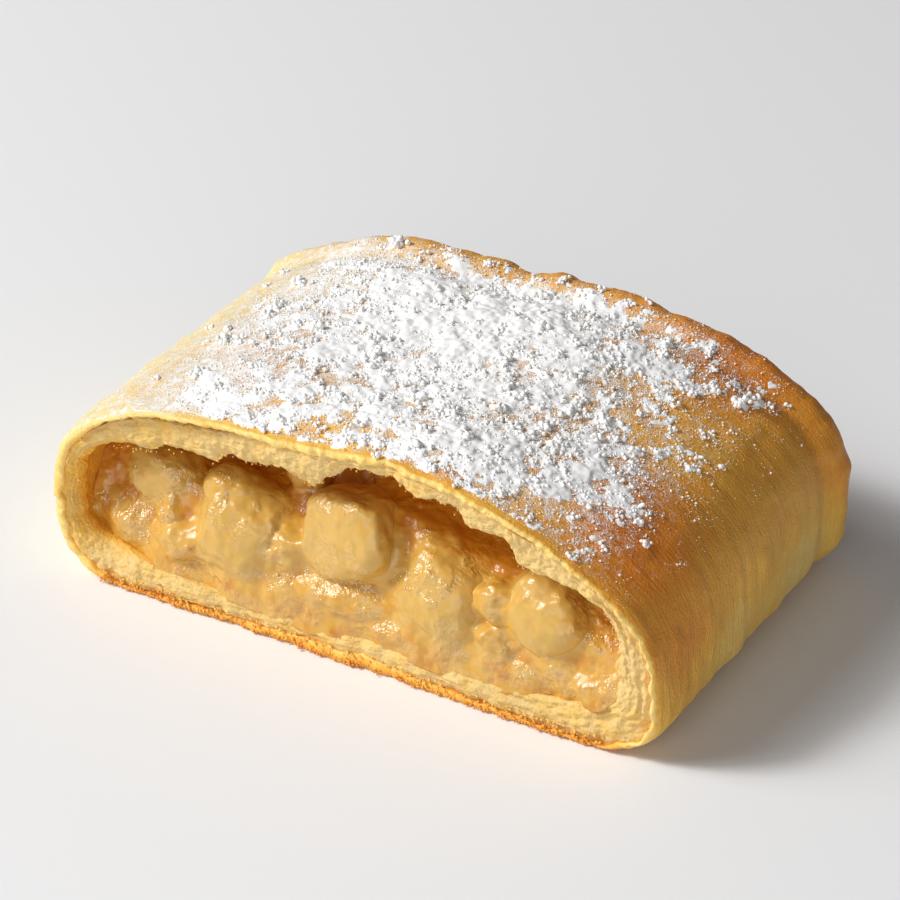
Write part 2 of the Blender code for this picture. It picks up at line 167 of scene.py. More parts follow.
def lumps(points, height, size, octaves, seed):
    """Layered noise of that height and size, both in millimetres."""
    return height * MM * layered(points, size * MM, octaves, seed)


def beside(*parts):
    """Arrays side by side on a new last axis."""
    return np.stack(parts, axis=-1)


def bell(distance, spread):
    """A bell curve: 1 at no distance, about a third at one spread."""
    return np.exp(-((distance / spread) ** 2))


def ramp(value):
    """A smooth step from 0 to 1 as value goes from 0 to 1."""
    t = np.clip(value, 0, 1)
    return t * t * (3 - 2 * t)


# %% [markdown]
# From rings to a mesh
#
# A loaf, a lump of apple and a shell of dough are all closed surfaces over a grid: rings of points
# one behind the other, shut by a pole at each end. One helper turns such a stack of rings into a
# mesh. It measures the volume inside, and turns the faces round if they point inwards.

# %% Meshes from rings


def keep_values(thing, values):
    """Keep one number for each point of the mesh, by name, for the finishes to read."""
    for key, numbers in values.items():
        attribute = thing.data.attributes.new(key, "FLOAT", "POINT")
        attribute.data.foreach_set("value", np.ascontiguousarray(numbers, np.float32).ravel())


def put_mesh(name, points, faces, values=None):
    """An object with these points and faces, smooth shaded, with its values kept by name."""
    mesh = bpy.data.meshes.new(name)
    mesh.from_pydata((points + FRAME_SHIFT).tolist(), [], faces)
    mesh.shade_smooth()
    thing = bpy.data.objects.new(name, mesh)
    keep_values(thing, values or {})
    bpy.context.scene.collection.objects.link(thing)
    triangles = sum(len(face) - 2 for face in faces)
    print(f"{name}: {len(points)} points, {triangles} triangles")
    return thing


def shell_faces(rings, count):
    """Faces of a closed surface: four-sided between rings, and a fan at each of two poles."""
    here = np.arange(count)
    following = (here + 1) % count
    row = (np.arange(rings - 1) * count)[:, None]
    quads = beside(row + here, row + count + here, row + count + following, row + following)
    first = np.full(count, rings * count)
    end = (rings - 1) * count
    fans = beside(first, here, following)
    closing = beside(first + 1, end + following, end + here)
    return quads.reshape(-1, 4), np.concatenate([fans, closing])


def closed_surface(name, rings, first_pole, last_pole, values=None):
    """The closed surface through rings of shape (rings, points, 3), with its faces outwards.

    values holds an array of (rings, points) for each name; a pole takes the mean of its ring.
    """
    rings = np.asarray(rings, float)
    quads, fans = shell_faces(*rings.shape[:2])
    points = np.concatenate([rings.reshape(-1, 3), [first_pole, last_pole]])
    a, b, c = (points[quads[:, k]] for k in (0, 1, 2))
    d = points[quads[:, 3]]
    volume = (np.cross(a, b) * c).sum() + (np.cross(a, c) * d).sum()
    if volume < 0:
        quads = quads[:, ::-1]
        fans = fans[:, ::-1]
    kept = {}
    for key, numbers in (values or {}).items():
        numbers = np.broadcast_to(numbers, rings.shape[:2])
        kept[key] = np.concatenate([numbers.ravel(), [numbers[0].mean(), numbers[-1].mean()]])
    return put_mesh(name, points, quads.tolist() + fans.tolist(), kept)


# %% [markdown]
# The roll's outline
#
# The section is a superellipse: flatter than an ellipse on top, and squarer below, where the soft
# roll has sagged on the tray. Low swells lie on the crown, and the crust rounds off and pleats at
# the tucked end. These formulas are the ones that the solids were made by.

# %% Formulas of the roll


def reach(angle, reaches, upper_power, lower_power):
    """Radius of a superellipse with its own reach to each side: (|cos/a|^n + |sin/b|^n)^(-1/n)."""
    left, right, up, down = reaches
    cosine = np.cos(angle)
    sine = np.sin(angle)
    across = np.where(cosine > 0, right, left)
    along = np.where(sine > 0, up, down)
    power = np.where(sine > 0, upper_power, lower_power)
    return (np.abs(cosine / across) ** power + np.abs(sine / along) ** power) ** (-1 / power)


def outline(angle):
    """Radius of the roll's plain outline."""
    return reach(angle, OUTER_REACH, CROWN_POWER, BASE_POWER)


def outline_x(angle):
    """Place of the plain outline across the roll."""
    return outline(angle) * np.cos(angle)


fine_angle = np.linspace(-math.pi, math.pi, 8001)
fine_radius = outline(fine_angle)
fine_x = fine_radius * np.cos(fine_angle)
fine_z = np.maximum(AXIS_Z + fine_radius * np.sin(fine_angle), 0)
fine_step = np.hypot(np.diff(fine_x), np.diff(fine_z))
fine_run = np.concatenate([[0], np.cumsum(fine_step)])
seen = np.where(fine_z[1:] > 0, 1.0, 0.35)
fine_share = np.concatenate([[0], np.cumsum(fine_step * seen)])
GIRTH = fine_run[-1]
print("the roll measures", round(GIRTH / MM), "mm round")


def even_angles(count):
    """Angles round the axis whose points lie evenly along the outline, and sparser underneath."""
    return np.interp(np.arange(count) / count * fine_share[-1], fine_share, fine_angle)


def run_at(angle):
    """Way along the outline at an angle, in metres."""
    return np.interp(angle, fine_angle, fine_run)


def swell(x, y):
    """Rise of the crown at a place, from the low swells and the droop at the cut edge."""
    rise = -CUT_DROOP * bell(y - CUT_Y, DROOP_SPREAD)
    for x0, y0, height, spread in SWELLS:
        rise = rise + height * bell(np.hypot(x - x0, y - y0), spread)
    return rise


def shoulder_drop(angle, y):
    """How much the radius falls short at the right shoulder, which sinks towards the cut."""
    middle, spread, drop, run = SHOULDER
    return drop * bell(angle - middle, spread) * bell(y - CUT_Y, run)


def full_radius(angle, y):
    """Radius of the crust before it rounds off: outline, swells, the end's fold and its pleats."""
    radius = outline(angle)
    x = radius * np.cos(angle)
    upward = np.clip(np.sin(angle), 0, 1)
    radius = radius + swell(x, y) * ramp(upward * 1.6) - shoulder_drop(angle, y)
    sides = ramp(1.2 + 2.0 * np.sin(angle))
    fold = sum(rise * bell(y - (END_Y - back), spread) for rise, back, spread in (FOLD, CREASE))
    height, number = PLEATS
    pleats = height * np.cos(number * angle) * ramp((y - (END_Y - PLEAT_START)) / (8 * MM))
    return radius + (fold + pleats) * sides


def end_power(angle):
    """How squarely the baked end rounds off: more so low down, where the dough is tucked under."""
    crown, more = CAP_POWER
    return crown + more * ramp(-np.sin(angle))


def hollow_radius(angle, y):
    """Radius of the hollow that the filling lies in, behind the cut."""
    radius = reach(angle, INNER_REACH, CROWN_POWER, INNER_BASE_POWER)
    depth = np.clip((y - (END_Y - END_WALL - HOLLOW_ROUND)) / HOLLOW_ROUND, 0, 1)
    return radius * (1 - depth**3) ** (1 / 3)


def lip_radius(angle):
    """Radius of the hollow's mouth, where lumps of the inner dough hang over the filling."""
    radius = reach(angle, INNER_REACH, CROWN_POWER, INNER_BASE_POWER)
    x = radius * np.cos(angle)
    sag = sum(drop * bell(x - x0, spread) for x0, drop, spread in LIP_SAGS)
    return radius - sag * ramp(np.sin(angle) * 3)


def lifted(angle):
    """Width and depth of the gap under the outer sheet at the cut: none where it still clings."""
    x = outline_x(angle)
    width = np.zeros_like(x)
    depth = np.zeros_like(x)
    for x0, spread, gap, run in LIFTED:
        share = bell(x - x0, spread) * ramp(np.sin(angle) * 4)
        width = width + gap * share
        depth = depth + run * share
    return width, depth


def spot(angle, radius, y):
    """Points in space: x = radius cos(angle), z = axis + radius sin(angle), never below the table."""
    angle, radius, y = np.broadcast_arrays(angle, radius, y)
    z = np.maximum(AXIS_Z + radius * np.sin(angle), 0)
    return beside(radius * np.cos(angle), y, z)


# %% [markdown]
# The crust
#
# The outermost sheet is about a millimetre and a half thick. Baked, it has low undulations, a skin
# with fine grain, small blisters, and wrinkles that run round the sides. At the tucked end the dough
# is gathered into pleats. All of that is height along the radius, so one function of angle and
# length gives it. The sheet is a closed cup: its outside, its ragged cut edge, and its inside.

# %% Relief of the crust


def wall_share(angle):
    """1 on the sides of the roll, 0 on the crown and underneath."""
    x = np.abs(outline_x(angle))
    return ramp((x - 34 * MM) / (18 * MM)) * ramp(1 + 1.3 * np.sin(angle))


def crust_relief(angle, y, radius):
    """Height of the skin's relief: undulations, grain, blisters, side wrinkles and end gathers."""
    place = spot(angle, radius, y)
    run = run_at(angle) + 0 * y
    free = ramp(place[..., 2] / (3 * MM))
    height = lumps(place, 0.42, 14, 2, 1)
    height += lumps(place, 0.075, 2.6, 3, 5)
    height += 0.70 * MM * np.clip(noise(place, 6.5 * MM, 9) - 0.20, 0, None)
    along = beside(run / 9, y + 0 * run, 0 * run)
    wrinkle = layered(along, 1.5 * MM, 2, 12)
    height += 0.14 * MM * wrinkle * wall_share(angle)
    gather = beside(run, y / 7, 0 * run)
    tucked = ramp((y - (END_Y - 15 * MM)) / (8 * MM)) * ramp(radius / (20 * MM))
    height += lumps(gather, 0.55, 5.5, 3, 15) * tucked
    return height * free


# the relief is told apart at places half a millimetre from each other
CRUST_STEPS = 620
CRUST_SIDE = 112
CRUST_CAP = 27


def crust_outside(angle, y):
    """Radius of the crust's outside in front of the rounded end, with its relief, down to the table."""
    radius = full_radius(angle, y)
    depth = np.clip((y - (END_Y - CAP_DEPTH)) / CAP_DEPTH, 0, 1)
    power = end_power(angle)
    radius = radius * (1 - depth**power) ** (1 / power)
    radius = radius + crust_relief(angle, y, radius)
    floor = np.where(np.sin(angle) < 0, AXIS_Z / np.maximum(-np.sin(angle), 1e-6), np.inf)
    return np.minimum(radius, floor)


def crust_points(angle, y, lift=0.0):
    """Points of the skin, with relief and lift laid square to the form.

    On the rounded end, 1 = share^n + depth^n, so the way out has the parts share^(n-1) outwards and
    depth^(n-1) backwards. The folded ends of the sheet meet low on it, in a dimple with creases.
    """
    depth = np.clip((y - (END_Y - CAP_DEPTH)) / CAP_DEPTH, 0, 1)
    power = end_power(angle)
    share = (1 - depth**power) ** (1 / power)
    radius = full_radius(angle, y) * share
    outward = share ** (power - 1)
    backward = depth ** (power - 1)
    across = radius * np.cos(angle)
    up = radius * np.sin(angle)
    crease = noise(beside(0 * across, up / 1.2, 0.25 * across), 3.4 * MM, 31)
    dimple = bell(np.hypot(across / 2.2, up + 2 * MM), 8 * MM)
    relief = crust_relief(angle, y, radius) + (0.5 * crease - dimple - 0.3) * MM * backward
    lift = (relief + lift) / np.hypot(outward, backward)
    return spot(angle, radius + lift * outward, y + lift * backward)


def cut_wave(angle):
    """Place of the cut along the roll: a slow wave with a quicker one on it."""
    high, waves, fine, fine_waves = RIM_WAVE
    wave = high * np.sin(waves * angle + 1) + fine * np.sin(fine_waves * angle)
    return CUT_Y + high + 0.5 * wave


def cut_front(angle):
    """Place of the outer sheet's cut edge: the cut's wave, with fine raggedness."""
    edge = spot(angle, outline(angle), CUT_Y)
    return cut_wave(angle) + lumps(edge, 0.36, 2.4, 2, 21) + lumps(edge, 0.24, 0.9, 1, 24)


def edge_softness(angle):
    """How far the sheet's cut edge is worn round: most on the walls, least on the crown."""
    x = outline_x(angle)
    left = ramp((-x - 36 * MM) / (14 * MM))
    right = ramp((x - 44 * MM) / (8 * MM))
    return (0.25 + 0.75 * left + 0.55 * right) * MM * ramp(1.6 + 1.7 * np.sin(angle))


def sheet_thickness(angle):
    """Thickness of the outer sheet at the cut: uneven, and thicker at the left and at the base."""
    edge = spot(angle, outline(angle), CUT_Y)
    low = ramp(-np.sin(angle) * 2)
    left = ramp((-edge[..., 0] - 44 * MM) / (8 * MM))
    return SHEET * (1 + 0.34 * layered(edge, 3 * MM, 3, 25) + 0.5 * low + 0.7 * left)


# %% The crust's cup
# rings of the sheet's inside: places along the roll, then ways behind its edge in millimetres
INSIDE_Y = (END_Y - 6 * MM, END_Y - 9 * MM, END_Y - 18 * MM, 0 * MM, CUT_Y + 14 * MM)
INSIDE_BACK = (11, 8.5, 6.5, 5, 3.9, 3.0, 2.2, 1.5, 0.9, 0.45)
# rings of the cut edge: share of the thickness, and way behind the cut in millimetres
EDGE_RINGS = ((0.06, 0.12), (0.3, -0.08), (0.55, -0.12), (0.78, -0.06), (0.95, 0.10))


def cap_rings(angle):
    """Rings over the rounded end, from its edge to near its middle."""
    share = np.sin(np.linspace(0.99, 0.04, CRUST_CAP) * math.pi / 2)[:, None]
    power = end_power(angle)
    y = END_Y - CAP_DEPTH * (1 - (1 - share**power) ** (1 / power))
    return crust_points(angle + 0 * y, y)


def build_crust():
    """The outer sheet as one closed cup, from inside the end wall forward, round the edge and back.

    Each ring also says where it is: 0 inside, 0.5 on the cut edge, 1 outside.
    """
    angle = even_angles(CRUST_STEPS)
    front = cut_front(angle)
    thick = sheet_thickness(angle)
    inner = []
    for y in INSIDE_Y:
        inner.append(spot(angle, crust_outside(angle, np.full_like(angle, y)) - 2.1 * MM, y))
    for back in INSIDE_BACK:
        y = front + back * MM
        under = spot(angle, crust_outside(angle, y) - thick, y)
        rough = lumps(under, 0.16, 1.3, 2, 41)
        inner.append(spot(angle, crust_outside(angle, y) - thick - rough, y))
    edge = []
    outside = crust_outside(angle, front) - edge_softness(angle)
    thick = thick - edge_softness(angle)
    for share, back in EDGE_RINGS:
        radius = outside - thick * (1 - share)
        face = spot(angle, radius, front)
        rough = lumps(face, 0.22, 1.4, 3, 45)
        edge.append(spot(angle, radius, front + back * MM + rough))
    side = []
    for t in np.linspace(0, 1, CRUST_SIDE) ** 1.25:
        y = front + 0.38 * MM + (END_Y - CAP_DEPTH * 0.985 - front - 0.38 * MM) * t
        worn = edge_softness(angle) * np.clip(1 - (y - front) / (2.6 * MM), 0, 1) ** 2.2
        side.append(spot(angle, crust_outside(angle, y) - worn, y))
    cap = cap_rings(angle)
    rings = np.concatenate([inner, edge, side, cap])
    first = (0, END_Y - 5 * MM, AXIS_Z)
    last = (0, END_Y - 1.2 * MM, AXIS_Z)
    layer = np.repeat([0.0, 0.5, 1.0], [len(inner), len(edge), len(side) + len(cap)])
    return rings, first, last, layer[:, None]


crust_rings, crust_first, crust_last, crust_layer = build_crust()
print("crust rings", crust_rings.shape)

# %% [markdown]
# How brown the crust is
#
# Dough browns where it is thin, high or near the oven's wall: along the tucked end, on the right
# shoulder, underneath, and on its blisters. The walls, which bake against steam, stay pale yellow.
# At the left of the crown it is lowered, a paler tone that is partly painted light. The share of
# browning is kept for each point of the mesh, so that the finish can read it.

# %% Browning of the crust
# patches that are browner than the rest, or paler where the amount is below 0
BROWNED = (
    (44, -20, 0.44, 10, 14),
    (38, 24, 0.36, 12, 12),
    (27, 31, 0.16, 22, 7),
    (24, -20, 0.15, 12, 9),
    (20, 2, 0.05, 12, 12),
    (-24, -12, 0.12, 12, 12),
    # paler at the left of the crown: pale dough, and painted light where the key light washes it out
    (-44, 0, -0.34, 13, 60),
    (-30, -33, -0.16, 22, 5),
)


def patch(x, y, row):
    """One patch on the crown: amount times exp(-((x - x0) / across)^2 - ((y - y0) / along)^2).

    Its row gives x0, y0, amount, across and along, the places and spreads in millimetres.
    """
    x0, y0, amount, across, along = row
    return amount * np.exp(-((x - x0 * MM) / (across * MM)) ** 2 - ((y - y0 * MM) / (along * MM)) ** 2)


def scorched(points):
    """1 in the brown, crisp seam where the roll sat on the tray, 0 above a wavy line 3 mm up."""
    waves = lumps(points, 0.8, 3.5, 1, 57) + lumps(points, 0.4, 1.2, 1, 58)
    return ramp((2.9 * MM - points[..., 2] + waves) / (3.4 * MM))


def browning(points):
    """Share of browning from 0, pale dough, to 1, dark brown: named patches, places and noise; the paler
    left of the crown is partly painted light.
    """
    x, y, z = np.moveaxis(points, -1, 0)
    share = 0.42 + 0.10 * layered(points, 17 * MM, 2, 51) + 0.05 * layered(points, 4.5 * MM, 2, 54)
    crown = ramp((z - 20 * MM) / (8 * MM))
    for row in BROWNED:
        share += patch(x, y, row) * crown
    share -= 0.26 * ramp((21 * MM - z) / (11 * MM))
    share -= 0.22 * ramp((-x - 42 * MM) / (10 * MM))
    right = ramp((x - 40 * MM) / (10 * MM))
    share += 0.34 * bell(z - 14 * MM, 9 * MM) * bell(y + 26 * MM, 8 * MM) * right
    share += 0.22 * bell(z - 18 * MM, 12 * MM) * bell(y - 34 * MM, 9 * MM) * right
    share += 0.30 * ramp((y - (END_Y - 9 * MM)) / (6 * MM))
    share -= 0.10 * bell(y - CUT_Y, 1.6 * MM) * crown
    return np.clip(share + 0.62 * scorched(points), 0, 1)


# the cut edge and the sheet's inside stay pale, except low down
pale = 0.10 + 0.25 * (crust_layer < 0.3) + 0.50 * scorched(crust_rings)
bake = np.where(crust_layer < 0.9, pale, browning(crust_rings))
crust = closed_surface("crust", crust_rings, crust_first, crust_last, {"bake": bake})

# %% [markdown]
# The inner dough
#
# Under the sheet lie the inner windings of the roll. They have baked into one soft, moist, bread-like
# layer, up to a centimetre thick, that was torn a little by the knife: its face is granular, and its
# lower edge hangs over the filling in rags. It is a second closed cup inside the first, with a finer
# grid on the face, because that is where one looks.

# %% The inner dough's cup
DOUGH_STEPS = 860
LAYERS_DEEP = 8 * MM
DOUGH_FACE = 46
# rings outside the dough: places along the roll, then ways behind the sheet's edge in millimetres
DOUGH_Y = (END_Y - 7.5 * MM, END_Y - 11 * MM, END_Y - 20 * MM, 0 * MM, CUT_Y + 14 * MM)
DOUGH_BACK = (11, 8.5, 6.8, 5.4, 4.2, 3.2, 2.4, 1.7, 1.15)
# rings of the hollow's rounded end, as shares of its depth
HOLLOW_SHARES = (0.4, 0.7, 0.88, 0.97)


def ragged_lip(angle):
    """Radius of the lip with its rags: lumps of half a millimetre to 5.5 mm on the plain lip."""
    plain = lip_radius(angle)
    edge = spot(angle, plain, CUT_Y)
    above = ramp(np.sin(angle) * 2.5 + 0.6)
    rags = lumps(edge, 1.0, 5.5, 2, 61) + lumps(edge, 0.5, 1.7, 3, 63)
    return plain + rags * (0.35 + 0.65 * above)


def dough_face(angle, radius, share):
    """Place of the torn face along the roll, with the layers of the windings as shallow steps.

    It bulges a little in the middle of the layer, lies back under the lifted sheet, and turns
    softly into the hollow at the lip, most softly at the left.
    """
    place = spot(angle, radius, CUT_Y)
    x = place[..., 0]
    broad = lumps(place, 0.45, 5, 2, 71)
    grain = lumps(place, 0.30, 1.2, 3, 73)
    run = run_at(angle) + 0 * radius
    level = share * LAYERS_DEEP + lumps(place, 0.8, 6, 1, 76)
    winding = layered(beside(run / 8, level, 0 * run), 1.3 * MM, 2, 77)
    tears = noise(beside(run / 3, level, 0 * run), 1.7 * MM, 78)
    right_wall = ramp((x - 38 * MM) / (8 * MM))
    layers = (0.12 + 0.12 * wall_share(angle)) * MM * winding
    torn = 1.4 * MM * np.clip(tears - 0.12, 0, None) * right_wall
    hood = 1.3 * MM * bell(x + 32 * MM, 14 * MM) * ramp(np.sin(angle) * 4)
    soft_left = ramp((-x - 38 * MM) / (8 * MM))
    rounding = (0.8 + 2.4 * soft_left) * MM * share ** (5 - 2.5 * soft_left)
    rounding = rounding + 0.3 * MM * (1 - share) ** 6
    return cut_wave(angle) + 0.35 * MM + broad + grain + layers + torn + hood + rounding


def build_dough():
    """The inner windings as one closed cup: outside, torn face, ragged lip, and the hollow's wall."""
    angle = even_angles(DOUGH_STEPS)
    thick = sheet_thickness(angle)
    width, depth = lifted(angle)
    lip = ragged_lip(angle)
    rings = []
    for y in DOUGH_Y:
        rings.append(spot(angle, crust_outside(angle, np.full_like(angle, y)) - 2.6 * MM, y))
    for back in DOUGH_BACK:
        y = cut_front(angle) + back * MM
        open_share = np.clip(1 - (back * MM / (depth + 1.5 * MM)) ** 2, 0, 1)
        radius = crust_outside(angle, y) - thick + 0.15 * MM - width * open_share
        place = spot(angle, radius, y)
        rings.append(spot(angle, radius + lumps(place, 0.22, 1.6, 2, 79) - 0.1 * MM, y))
    top = crust_outside(angle, cut_front(angle)) - thick + 0.15 * MM - width
    for share in np.linspace(0, 1, DOUGH_FACE):
        radius = top + (lip - top) * share
        rings.append(spot(angle, radius, dough_face(angle, radius, share)))
    face_y = rings[-1][:, 1]
    back_end = END_Y - END_WALL - HOLLOW_ROUND
    for t in np.linspace(0.012, 1, 22) ** 1.6:
        y = face_y + 0.25 * MM + (back_end - face_y) * t
        fade = ramp((y - CUT_Y) / LIP_DEPTH)
        undercut = 0.5 * MM * ramp((y - face_y) / (1.2 * MM))
        radius = (lip + undercut) * (1 - fade) + hollow_radius(angle, y) * fade
        place = spot(angle, radius, y)
        rough = lumps(place, 0.25, 2, 3, 83)
        rings.append(spot(angle, radius + rough, y))
    for depth_share in HOLLOW_SHARES:
        y = back_end + HOLLOW_ROUND * depth_share
        rings.append(spot(angle, hollow_radius(angle, y), y))
    return np.array(rings), (0, END_Y - 6.5 * MM, AXIS_Z), (0, END_Y - END_WALL + 0.3 * MM, AXIS_Z)


dough_rings, dough_first, dough_last = build_dough()


def soak_and_painted_light(points):
    """Share of syrup soak, with painted light and shade: soak on the base and in patches; soak and painted
    shade behind the lip, inside the hollow; soak and painted light at the left, where light shines through
    the thin dough.
    """
    x, y, z = np.moveaxis(points, -1, 0)
    # behind the lip: syrup soak, and painted shade inside the hollow
    behind = ramp((y - (CUT_Y + 1.6 * MM)) / (3 * MM))
    near_base = bell(z - 5.5 * MM, 2.2 * MM) * ramp((46 * MM - np.abs(x)) / (8 * MM))
    # at the left: syrup soak, and painted light, as the brighter middle colour, where light shines through
    # the thin dough
    left = ramp((-x - 45 * MM) / (7 * MM))
    patches = 0.25 * layered(points, 5 * MM, 3, 87)
    return np.clip(0.85 * behind + 0.12 * near_base + 0.35 * left + patches, 0, 1)


inner_dough = closed_surface("inner_dough", dough_rings, dough_first, dough_last, {
    "soak_light_shade": soak_and_painted_light(dough_rings),
    "bake": scorched(dough_rings),
})

# %% [markdown]
# Apple and syrup as one field
#
# Stewed apple has no clear border: the chunks are soft, and the compote between them clings to them
# in fillets. So the filling is worked out as a field. Each chunk has a distance, rounded like a worn
# block, and so has the mass between them; a smooth minimum melts them together. The same field tells
# every point how much apple and how much syrup is there, so the chunks' own meshes and the mass
# round them take the same colour where they meet. Further back in the hollow the share of apple is
# lowered, which paints shade there as darker syrup.

# %% Distances in the filling
FILLING_LOW = 22.5 * MM
LOW_STRETCH = 13 * MM
RISE_STRETCH = 12 * MM
FRONT_SETBACK = 0.6 * MM
LEFT_SETBACK = (-34 * MM, 9 * MM, 3.4 * MM)
FRONT_LEAN = 8.5 * MM
MELT = 2.4 * MM
FLATS = 7
CHUNK_SEED = 5

# smaller lumps of soft apple, one with the compote: centre and half sizes in millimetres
LUMPS = (
    ((-25.4, -25.4, 20.4), (5.2, 4.6, 4.2)),
    ((-43.0, -27.4, 9.6), (4.4, 3.4, 3.4)),
    ((-33.0, -29.6, 10.6), (4.6, 3.2, 3.0)),
    ((-36.0, -28.6, 14.2), (2.4, 2.2, 1.9)),
    ((-12.6, -28.6, 14.6), (3.0, 3.2, 4.2)),
    ((-12.4, -30.2, 7.8), (4.0, 2.6, 2.4)),
    ((-2.0, -30.6, 9.8), (8.4, 2.6, 2.5)),
    ((6.6, -30.4, 7.2), (4.4, 2.6, 2.0)),
    ((1.8, -17.6, 23.0), (5.0, 4.4, 3.6)),
    ((7.4, -22.0, 22.4), (2.6, 2.4, 2.2)),
    ((13.2, -25.2, 20.4), (4.0, 4.2, 2.9)),
    ((24.8, -28.8, 17.0), (3.2, 3.0, 3.6)),
    ((25.4, -30.0, 10.8), (3.6, 2.8, 3.4)),
    ((31.6, -30.4, 7.8), (3.2, 2.4, 1.8)),
    ((36.6, -29.8, 10.0), (3.4, 2.8, 2.2)),
    ((43.6, -29.4, 8.4), (2.6, 2.8, 2.2)),
    ((42.6, -27.6, 13.6), (2.4, 2.8, 2.6)),
)


def turned(degrees):
    """The turn of a chunk as a matrix, about X, then Y, then Z."""
    turn = Matrix.Identity(3)
    for axis, value in zip("XYZ", degrees):
        turn = Matrix.Rotation(math.radians(value), 3, axis) @ turn
    return np.array(turn)


def chunk_form(number, centre, half_sizes, degrees, power):
    """What a chunk's distance needs: centre, sizes, turn, power, and its cut flats with their depths."""
    draw = np.random.default_rng(CHUNK_SEED + number)
    sizes = np.array(half_sizes) * MM
    normals = draw.normal(size=(FLATS, 3))
    normals[0] = (0.35 * normals[0, 0], -1, 0.30 + 0.3 * normals[0, 2])
    normals /= np.linalg.norm(normals, axis=1)[:, None]
    share = np.array([0.88] + [0.75] * (FLATS - 1))
    corner = np.abs(normals * sizes).sum(axis=1)
    level = np.linalg.norm(normals * sizes, axis=1)
    return np.array(centre) * MM, sizes, turned(degrees), power, normals, share * np.sqrt(corner * level)


FORMS = [chunk_form(number, *row[1:]) for number, row in enumerate(CHUNKS)]


def knobs(points):
    """Unevenness of soft apple: low knobs of 6 mm with smaller ones of 2.4 mm."""
    return lumps(points, 0.50, 6, 1, 105) + lumps(points, 0.36, 2.4, 1, 106)


def chunk_distance(points, form):
    """Rough distance outside a chunk: its superellipsoid's, or that outside its flats if larger."""
    centre, sizes, turn, power, normals, depths = form
    local = (points - centre) @ turn
    share = (np.abs(local / sizes) ** power).sum(axis=-1) ** (1 / power)
    distance = (share - 1) * sizes.mean()
    for normal, depth in zip(normals, depths):
        distance = -smooth_least(-distance, depth - local @ normal, 1.2 * MM)
    return distance


def smooth_least(a, b, blend):
    """The smaller of two distances, melted together where they differ by less than the blend."""
    near = np.clip(blend - np.abs(a - b), 0, None) / blend
    return np.minimum(a, b) - near**2 * blend / 4


def nearest_apple(points):
    """Distance outside the nearest chunk."""
    return np.min([chunk_distance(points, form) for form in FORMS], axis=0) - knobs(points)


def nearest_lump(points):
    """Distance outside the nearest small lump, from its ellipsoid."""
    distances = []
    for centre, half_sizes in LUMPS:
        sizes = np.array(half_sizes) * MM
        share = np.linalg.norm((points - np.array(centre) * MM) / sizes, axis=-1)
        distances.append((share - 1) * sizes.mean())
    return np.min(distances, axis=0) - 1.2 * knobs(points)


def filling_level(x, y):
    """Top of the filling: low behind the cut, with dips between the chunks, rising to the crust."""
    waves = 1.8 * MM * np.sin(x / (9 * MM) + 0.8) + 1.1 * MM * np.sin(x / (4 * MM))
    rise = ramp((y - (CUT_Y + LOW_STRETCH)) / RISE_STRETCH)
    return FILLING_LOW + waves + (HEIGHT - FILLING_LOW) * rise


def compote_distance(points):
    """Distance outside the soft mass between the chunks: behind its front, and under its top."""
    x, y, z = np.moveaxis(points, -1, 0)
    rise = np.clip(z / filling_level(x, CUT_Y), 0, 1)
    bulge = 0.9 * MM * np.sin(x / (5 * MM) + 4 * rise) + 0.5 * MM * np.sin(x / (2.7 * MM))
    left_start, stretch, more = LEFT_SETBACK
    setback = FRONT_SETBACK + more * ramp((left_start - x) / stretch)
    front = CUT_Y + setback + FRONT_LEAN * rise**1.9 + bulge * np.sin(math.pi * rise)
    return -smooth_least(y - front, filling_level(x, y) - z, 4 * MM)


fine_lip = ragged_lip(fine_angle)


def filling_distance(points):
    """Distance outside the whole filling, chunks melted in, kept inside the hollow of the dough.

    Low at the cut it may smear a millimetre over the dough's edge.
    """
    soft = smooth_least(compote_distance(points), nearest_lump(points), MELT)
    mass = smooth_least(soft, nearest_apple(points) + 0.3 * MM, MELT)
    x, y, z = np.moveaxis(points, -1, 0)
    angle = np.arctan2(z - AXIS_Z, x)
    fade = ramp((y - CUT_Y) / LIP_DEPTH)
    lip = np.interp(angle, fine_angle, fine_lip)
    wall = lip * (1 - fade) + hollow_radius(angle, np.maximum(y, CUT_Y)) * fade
    wall = wall + 1.6 * MM * ramp((CUT_Y + 3 * MM - y) / (2 * MM)) * ramp((10 * MM - z) / (4 * MM))
    return np.maximum(mass, np.hypot(x, z - AXIS_Z) - wall - 0.4 * MM)


def apple_and_painted_shade(points):
    """1 in apple, 0 in syrup: how much nearer a chunk is than the edge of its fillet.

    In front the compote is pulpy, so it has some apple everywhere; further back in the hollow the share
    falls, which paints shade there as darker syrup.
    """
    away = np.minimum(nearest_apple(points), nearest_lump(points) + 0.5 * MM)
    wobble = lumps(points, 0.8, 3, 2, 91)
    # painted shade: less apple, so darker syrup, further back in the hollow under the lip
    hollow_shade = 2.0 * MM * ramp((points[..., 1] - (CUT_Y + 6 * MM)) / (8 * MM))
    share = ramp(0.5 + (1.1 * MM - away + wobble - hollow_shade) / (3.2 * MM))
    pulp = 0.50 + 0.42 * layered(points, 3.5 * MM, 3, 94)
    return np.maximum(share, pulp * ramp((CUT_Y + 9 * MM - points[..., 1]) / (5 * MM)))


def glitter(points):
    """Share of wet, bumpy skin: patches of about 3 mm, and most of the compote low at the cut."""
    low = 0.22 * bell(points[..., 2] - 7 * MM, 4 * MM)
    return ramp((layered(points, 5 * MM, 2, 121) + 0.06 + low) / 0.35)


def wetness(points):
    """The values that the finish of apple and syrup reads."""
    # the apple share also carries painted shade further back in the hollow
    return {"apple": apple_and_painted_shade(points), "wet": glitter(points)}


